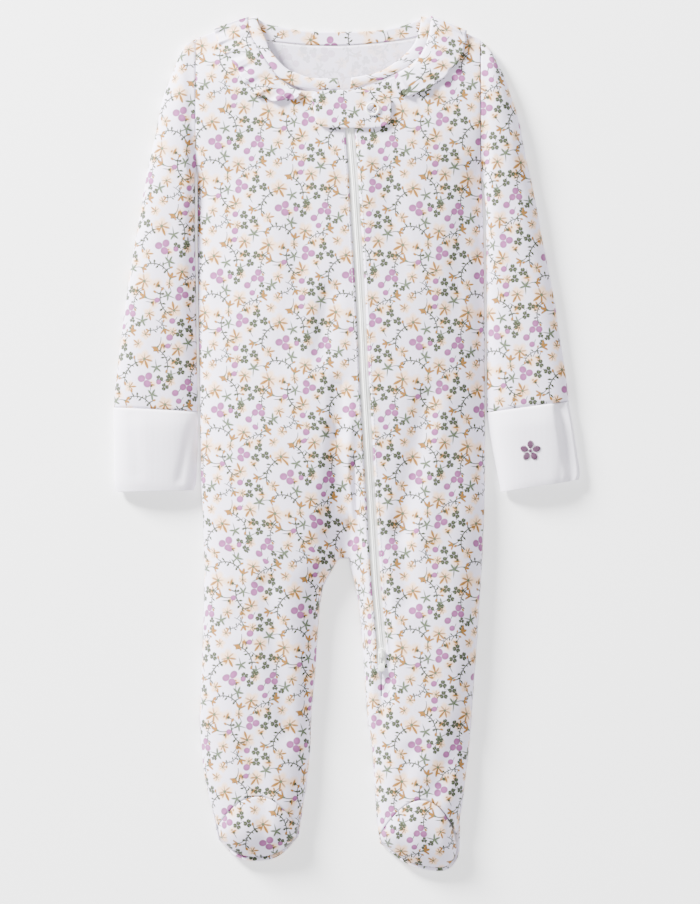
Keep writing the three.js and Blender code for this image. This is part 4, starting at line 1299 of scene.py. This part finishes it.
zip_tape_white = plain_surface("woven zip tape", linear(243, 244, 241), 0.75, 0.25, woven=True)
zip_plastic = plain_surface("zip plastic", linear(243, 245, 240), 0.38)
snap_plastic = plain_surface("snap plastic", linear(252, 252, 252), 0.28, 0.5)
white_thread = plain_surface("white thread", linear(243, 240, 250), 0.6, 0.3, woven=True)
mauve_thread = plain_surface("mauve thread", linear(88, 52, 80), 0.42, 0.5, woven=True)

tape_drop = 1.35
slider_drop = 1.75
tape_top_y = 244.8
tape_end_y = -168.0
slider_y = -146.0
slider_x = zip_x(slider_y)


def tape_profile(across):
    """Woven tape over a coil: a low ridge on each side of the middle, and a groove beside it."""
    ridge = 0.55 * math.exp(-(((abs(across) - 0.5) / 0.45) ** 2))
    groove = -0.3 * math.exp(-(((abs(across) - 1.3) / 0.3) ** 2))
    return ridge + groove - 0.4 * math.exp(-((across / 0.16) ** 2))


def zip_place(down, across):
    y = mix(tape_top_y, tape_end_y, down)
    widest = mix(4, 6.5, smooth(-62, -35, y))
    outward = max(abs(across) - 2.2, 0) * (widest - 6.5) / 4.3
    beside_slider = math.exp(-((y - slider_y) / 6) ** 4)
    rise = 0.6 * (1 - smooth(2.0, zip_half_opening, abs(across)))
    rise *= smooth(*zip_closes_y, y) * (1 - beside_slider)
    height = tape_profile(across) + rise - tape_drop
    return on_front(zip_x(y) + across + math.copysign(outward, across), y, height)


half_tape = [6.5, 5.2, 4.2, 3.4, 2.8, 2.2, 1.7, 1.45, 1.25, 1.05, 0.85, 0.65, 0.4, 0.22, 0.1]
tape_places = [-place for place in half_tape] + [0] + half_tape[::-1]
tape_panel = flat_panel(
    260,
    len(tape_places) - 1,
    lambda down, across: zip_place(down, tape_places[round(across * (len(tape_places) - 1))]),
)
tape = finish_piece(
    "zip_tape_pair", tape_panel, (zip_tape_white,),
    replaced=("right_zip_tape", "left_zip_tape"),
)
thicken(tape, 0.6)

# Small closed shapes that are set many times: a thread lying on the cloth, or a tooth of the zip

def add_rod(mesh, start, end, radius, sides=6, flatness=0.7):
    """A short round-ended thread from start to end."""
    along = end - start
    turn = along.to_track_quat("Z", "Y").to_matrix().to_4x4()
    place = Matrix.Translation((start + end) / 2) @ turn
    made = bmesh.ops.create_uvsphere(mesh, u_segments=sides, v_segments=4, radius=1)["verts"]
    bmesh.ops.scale(mesh, vec=(radius, radius * flatness, along.length / 2), verts=made)
    bmesh.ops.transform(mesh, matrix=place, verts=made)


def stitch_line(mesh, points, spacing=2.6, length=1.9, radius=0.24):
    """Even stitches along a line of points, given in millimetres."""
    travelled, due = 0.0, spacing / 2
    for start, end in zip(points, points[1:]):
        step = (end - start).length
        while due <= travelled + step:
            at = start.lerp(end, (due - travelled) / step)
            half = (end - start).normalized() * length / 2
            add_rod(mesh, (at - half) * MM, (at + half) * MM, radius * MM)
            due += spacing
        travelled += step


coil = bmesh.new()
tooth_count = 320
for tooth in range(tooth_count):
    y = mix(tape_top_y - 2, tape_end_y + 1, tooth / (tooth_count - 1))
    centre = on_front(zip_x(y), y, -tape_drop - 1.35)
    half = Vector((1.7, 0.35 * (-1) ** tooth, 0))
    add_rod(coil, (centre - half) * MM, (centre + half) * MM, 0.42 * MM, sides=5, flatness=1)
finish_piece("zip_teeth", coil, (zip_plastic,), replaced=("zip_coil",))


def rounded_block(mesh, size, centre, corner, edge):
    """A block with rounded upright corners and softened edges, in millimetres."""
    made = bmesh.ops.create_cube(mesh, size=1)["verts"]
    bmesh.ops.scale(mesh, vec=[side * MM for side in size], verts=made)
    bmesh.ops.translate(mesh, vec=[side * MM for side in centre], verts=made)
    edges = {edge for vert in made for edge in vert.link_edges}
    upright = [
        edge for edge in edges
        if abs(edge.verts[0].co.z - edge.verts[1].co.z) > size[2] * MM * 0.9
    ]
    turned = bmesh.ops.bevel(
        mesh, geom=upright, offset=corner * MM, segments=4, affect="EDGES", profile=0.5, material=-1
    )
    faces = {face for vert in turned["verts"] for face in vert.link_faces}
    rims = {
        edge for face in faces for edge in face.edges
        if abs(edge.verts[0].co.z - edge.verts[1].co.z) < 1e-6 and edge.calc_face_angle(0) > 0.8
    }
    bmesh.ops.bevel(
        mesh, geom=list(rims), offset=edge * MM, segments=2, affect="EDGES", profile=0.5, material=-1
    )


plate_height = 1.3
bridge_rise = 2.9
bridge_thickness = 0.8
pin_radius = 0.6
pin_clearance = 0.35
pin_length = 4.6
slider_base = front_height(slider_x, slider_y) - slider_drop
pull_height = slider_base + plate_height + pin_radius + pin_clearance
bridge_height = slider_base + plate_height + bridge_rise - bridge_thickness / 2

slider = bmesh.new()
plate_centre = (slider_x, slider_y, slider_base + plate_height / 2)
rounded_block(slider, (5.2, 7.4, plate_height), plate_centre, 2.2, 0.35)
for side in (-1, 1):
    post = (slider_x, slider_y + side * 2.7, slider_base + 0.2 + 2.0)
    rounded_block(slider, (1.5, 0.9, 4.0), post, 0.3, 0.15)
rounded_block(slider, (1.5, 6.3, bridge_thickness), (slider_x, slider_y, bridge_height), 0.4, 0.3)
finish_piece("zip_slider_body", slider, (zip_plastic,), replaced=("zip_slider",))

pull = bmesh.new()
pin_place = Matrix.Translation(Vector((slider_x, slider_y, pull_height)) * MM)
bmesh.ops.create_cone(
    pull, cap_ends=True, segments=24, radius1=pin_radius * MM, radius2=pin_radius * MM,
    depth=pin_length * MM, matrix=pin_place @ Matrix.Rotation(math.pi / 2, 4, "Y"),
)
for side in (-1, 1):
    rounded_block(pull, (1.0, 8.0, 1.1), (slider_x + side * 1.8, slider_y - 4.0, pull_height), 0.3, 0.25)
rounded_block(pull, (4.6, 5.8, 1.1), (slider_x, slider_y - 10.1, pull_height), 1.9, 0.3)
finish_piece("zip_pull_tab", pull, (zip_plastic,), body="pull", replaced=("zip_pull",))

stop_y = -162.5
stop = bmesh.new()
stop_base = front_height(zip_x(stop_y), stop_y) - 2.3
rounded_block(stop, (4, 2, 1), (zip_x(stop_y), stop_y, stop_base + 0.5), 0.6, 0.25)
finish_piece("zip_end_stop", stop, (zip_plastic,), replaced=("zip_stop",))

# Tab over the top of the zip, closed by a ring snap

guard_rows = table("y left right", [
    (245.6, -22.6, 24.5),
    (243.5, -23.9, 28.6),
    (240, -24, 30.4),
    (236.5, -23.8, 31),
    (230, -22.8, 31),
    (225, -21.9, 30.4),
    (221.5, -21, 29.2),
    (219.2, -18.5, 26),
])
guard_thickness = 2.0
snap_x, snap_y = 17.8, 232.5


def guard_place(down, across):
    row = along_rows(guard_rows, down)
    ends = 1 - abs(2 * across - 1) ** 6
    y = mix(231, row["y"], 0.86 + 0.14 * ends)
    edge = min(down, 1 - down) * 26
    side = min(across, 1 - across) * 50
    plump = 0.5 * (1 - math.exp(-min(edge, side) / 1.6))
    dent = -0.5 * math.exp(-((across - 0.76) / 0.1) ** 2 - ((down - 0.46) / 0.3) ** 2)
    return on_front(mix(row["left"], row["right"], across), y, guard_thickness + 0.1 + plump + dent)


guard_panel = flat_panel(36, 64, guard_place, origin=(-11, 20), grain=0)
guard = finish_piece(
    "zip_guard_tab", guard_panel, (printed_jersey,), replaced=("zip_guard",)
)
thicken(guard, guard_thickness - 0.2)

snap = bmesh.new()
snap_centre = on_front(snap_x, snap_y, guard_thickness + 1.3) * MM
ring_side = Matrix.Translation(snap_centre + Vector((4.2 * MM, 0, 0)))
profile = bmesh.ops.create_circle(
    snap, segments=16, radius=0.75 * MM, matrix=ring_side @ Matrix.Rotation(math.pi / 2, 4, "X")
)
bmesh.ops.spin(
    snap, geom=profile["verts"] + list(snap.edges), cent=snap_centre, axis=(0, 0, 1), angle=2 * math.pi,
    steps=48, use_merge=True,
)
bmesh.ops.recalc_face_normals(snap, faces=snap.faces)
finish_piece("snap_ring_cap", snap, (snap_plastic,), replaced=("snap_ring",))

# Feet: a domed vamp over a flat sole, whose edge shows as a narrow band round the toe

sole_rim = 4.6
printed_band_z = 2.6
feet = {
    "right": {
        "leg": right_leg,
        "ankle": (-90.2, -268.6, -34.6, -268.6, 22, 1),
        "toe": (-88.8, -275, -35.4, -273.5, -14, 1),
        "sole_toe": (-89.6, -276.5, -34.6, -275, -15.9, 1),
    },
    "left": {
        "leg": left_leg,
        "ankle": (75, -274.6, 23, -274.6, 25.4, 0.86),
        "toe": (76.6, -282.5, 24.6, -278, -14.4, 0.62),
        "sole_toe": (77.8, -284.5, 23.8, -279.8, -15.6, 0.62),
    },
}


def foot_point(line, share, power):
    """A point on a bowed line across a foot: outer end, inner end, bow and the bow's lean."""
    outer_x, outer_y, inner_x, inner_y, bow_out, lean = line
    arch = 1 - abs(2 * share ** lean - 1) ** power
    return Vector((mix(outer_x, inner_x, share), mix(outer_y, inner_y, share) + bow_out * arch, 0))


def make_vamp(side, foot, origin):
    def place(down, across):
        lowered = math.sin(down * math.pi / 2)
        share = (1 - math.cos(across * math.pi)) / 2
        start, end = foot_point(foot["ankle"], share, 2.1), foot_point(foot["toe"], share, 2.6)
        start.y += 0.7
        end.y -= 0.5
        point = start.lerp(end, lowered)
        seam = max(leg_loft(foot["leg"], start.x, start.y), seam_height) - 0.06
        rim = mix(seam_height, sole_rim + 0.2, smooth(0, 0.3, min(share, 1 - share)))
        dome = (1 - lowered ** 2.6) ** 0.7
        swell = 2.2 * math.sin(lowered * math.pi) * math.sin(share * math.pi) ** 0.7
        gather = 0.25 * math.sin(46 * share) * math.exp(-down * 9) * math.sin(share * math.pi)
        point.z = rim + (seam - rim) * dome + swell + gather * down * 4
        return point

    panel = flat_panel(44, 48, place, origin=origin, grain=0, steep=True)
    piece = finish_piece(
        f"{side}_foot_top", panel, (printed_jersey, reverse_jersey),
        replaced=(f"{side}_vamp",),
    )
    thicken(piece, cloth_thickness)


def make_sole(side, foot, origin):
    heel = back_rows_y[-1] - 0.1

    def place(down, across):
        share = (1 - math.cos(across * math.pi)) / 2
        reach = 1 - (1 - down) ** 1.5
        start = Vector((across_leg(foot["leg"], heel, share), heel, 0))
        point = start.lerp(foot_point(foot["sole_toe"], share, 2.6), reach)
        at_toe = smooth(0.8, 1, reach) * smooth(0, 0.3, min(share, 1 - share))
        side_lift = edge_lift * math.exp(-min(share, 1 - share) * 30)
        point.z = back_height + max(side_lift, (sole_rim - back_height) * at_toe)
        return point

    panel = flat_panel(40, 48, place, origin=origin, grain=0, steep=True)
    for face in panel.faces:
        face.material_index = int(face.calc_center_median().z > printed_band_z * MM)
    piece = finish_piece(
        f"{side}_foot_sole", panel, (reverse_jersey, printed_jersey),
        replaced=(f"{side}_sole",),
    )
    thicken(piece, back_height - 0.1, hem=1)


make_vamp("right", feet["right"], (11, -24))
make_vamp("left", feet["left"], (-20, 13))
make_sole("right", feet["right"], (0, 0))
make_sole("left", feet["left"], (0, 0))

# Topstitching beside the seams, and an embroidered flower on one cuff

stitches = bmesh.new()
for side in (-1, 1):
    stitch_line(stitches, [
        on_front(zip_x(y) + side * (zip_opening(y) + 1.6), y, 0.16) for y in range(215, -166, -3)
    ])
finish_piece("topstitching", stitches, (white_thread,))


def on_cuff(spot, raised):
    """A place on the left cuff's upper face, in metres, for a spot counted from the flower's middle."""
    x, y = flower_x + spot.x, flower_y + spot.y
    _, place, _, _ = left_cuff.ray_cast((x * MM, y * MM, 0.1), (0, 0, -1))
    return Vector((x, y, place.z / MM + raised)) * MM


flower = bmesh.new()
flower_x, flower_y = 127.8, -5.2
petals = 5
knots = 6
for petal in range(petals):
    aim = math.radians(90 + 360 / petals * petal)
    outward = Vector((math.cos(aim), math.sin(aim), 0))
    sideways = Vector((-outward.y, outward.x, 0))
    for thread in range(-7, 8):
        aside = thread / 7.5
        reach = 3.3 + 4.4 * math.sqrt(1 - aside ** 2)
        start = outward * (1.5 + 0.5 * abs(aside)) + sideways * aside * 0.8
        end = outward * reach + sideways * aside * 2.7
        add_rod(flower, on_cuff(start, 0.25), on_cuff(end, 0.25), 0.3 * MM, flatness=0.9)
for knot in range(knots + 1):
    aim = 2 * math.pi * knot / knots
    reach = 0.85 if knot < knots else 0.0
    knot_place = Matrix.Translation(on_cuff(Vector((math.cos(aim), math.sin(aim), 0)) * reach, 0.45))
    bmesh.ops.create_icosphere(flower, subdivisions=2, radius=0.5 * MM, matrix=knot_place)
finish_piece("embroidered_flower", flower, (mauve_thread,))

# Studio: a white floor, a soft key light from the upper left and a gentle fill

floor = bmesh.new()
bmesh.ops.create_grid(floor, x_segments=2, y_segments=2, size=3)
floor_data = bpy.data.meshes.new("floor")
floor.to_mesh(floor_data)
floor.free()
floor_material, _, floor_surface = new_surface("white floor", 0.9, 0.1)
floor_surface.inputs["Base Color"].default_value = (0.97, 0.97, 0.97, 1)
floor_surface.inputs["Emission Color"].default_value = (1, 1, 1, 1)
floor_surface.inputs["Emission Strength"].default_value = 0.55
floor_data.materials.append(floor_material)
floor_piece = bpy.data.objects.new("floor", floor_data)
floor_piece.location.z = -0.0005
bpy.context.scene.collection.objects.link(floor_piece)
floor_piece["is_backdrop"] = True


def soft_light(name, place, size, power):
    """A round lamp aimed at the middle of the suit."""
    data = bpy.data.lights.new(name, "AREA")
    data.shape = "DISK"
    data.size = size
    data.energy = power
    light = bpy.data.objects.new(name, data)
    light.location = place
    light.rotation_euler = (-Vector(place)).to_track_quat("-Z", "Y").to_euler()
    bpy.context.scene.collection.objects.link(light)


soft_light("key light", (-2.1, 2.15, 1.02), 0.95, 800)
soft_light("fill light", (0.6, -0.6, 3.2), 3.0, 95)
world = bpy.data.worlds.new("studio")
world.use_nodes = True
sky = world.node_tree.nodes["Background"]
sky.inputs["Color"].default_value = (0.96, 0.97, 1.0, 1)
sky.inputs["Strength"].default_value = 0.62
bpy.context.scene.world = world

boxes = [[list(corner) for corner in box] for box in (cad_box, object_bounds())]
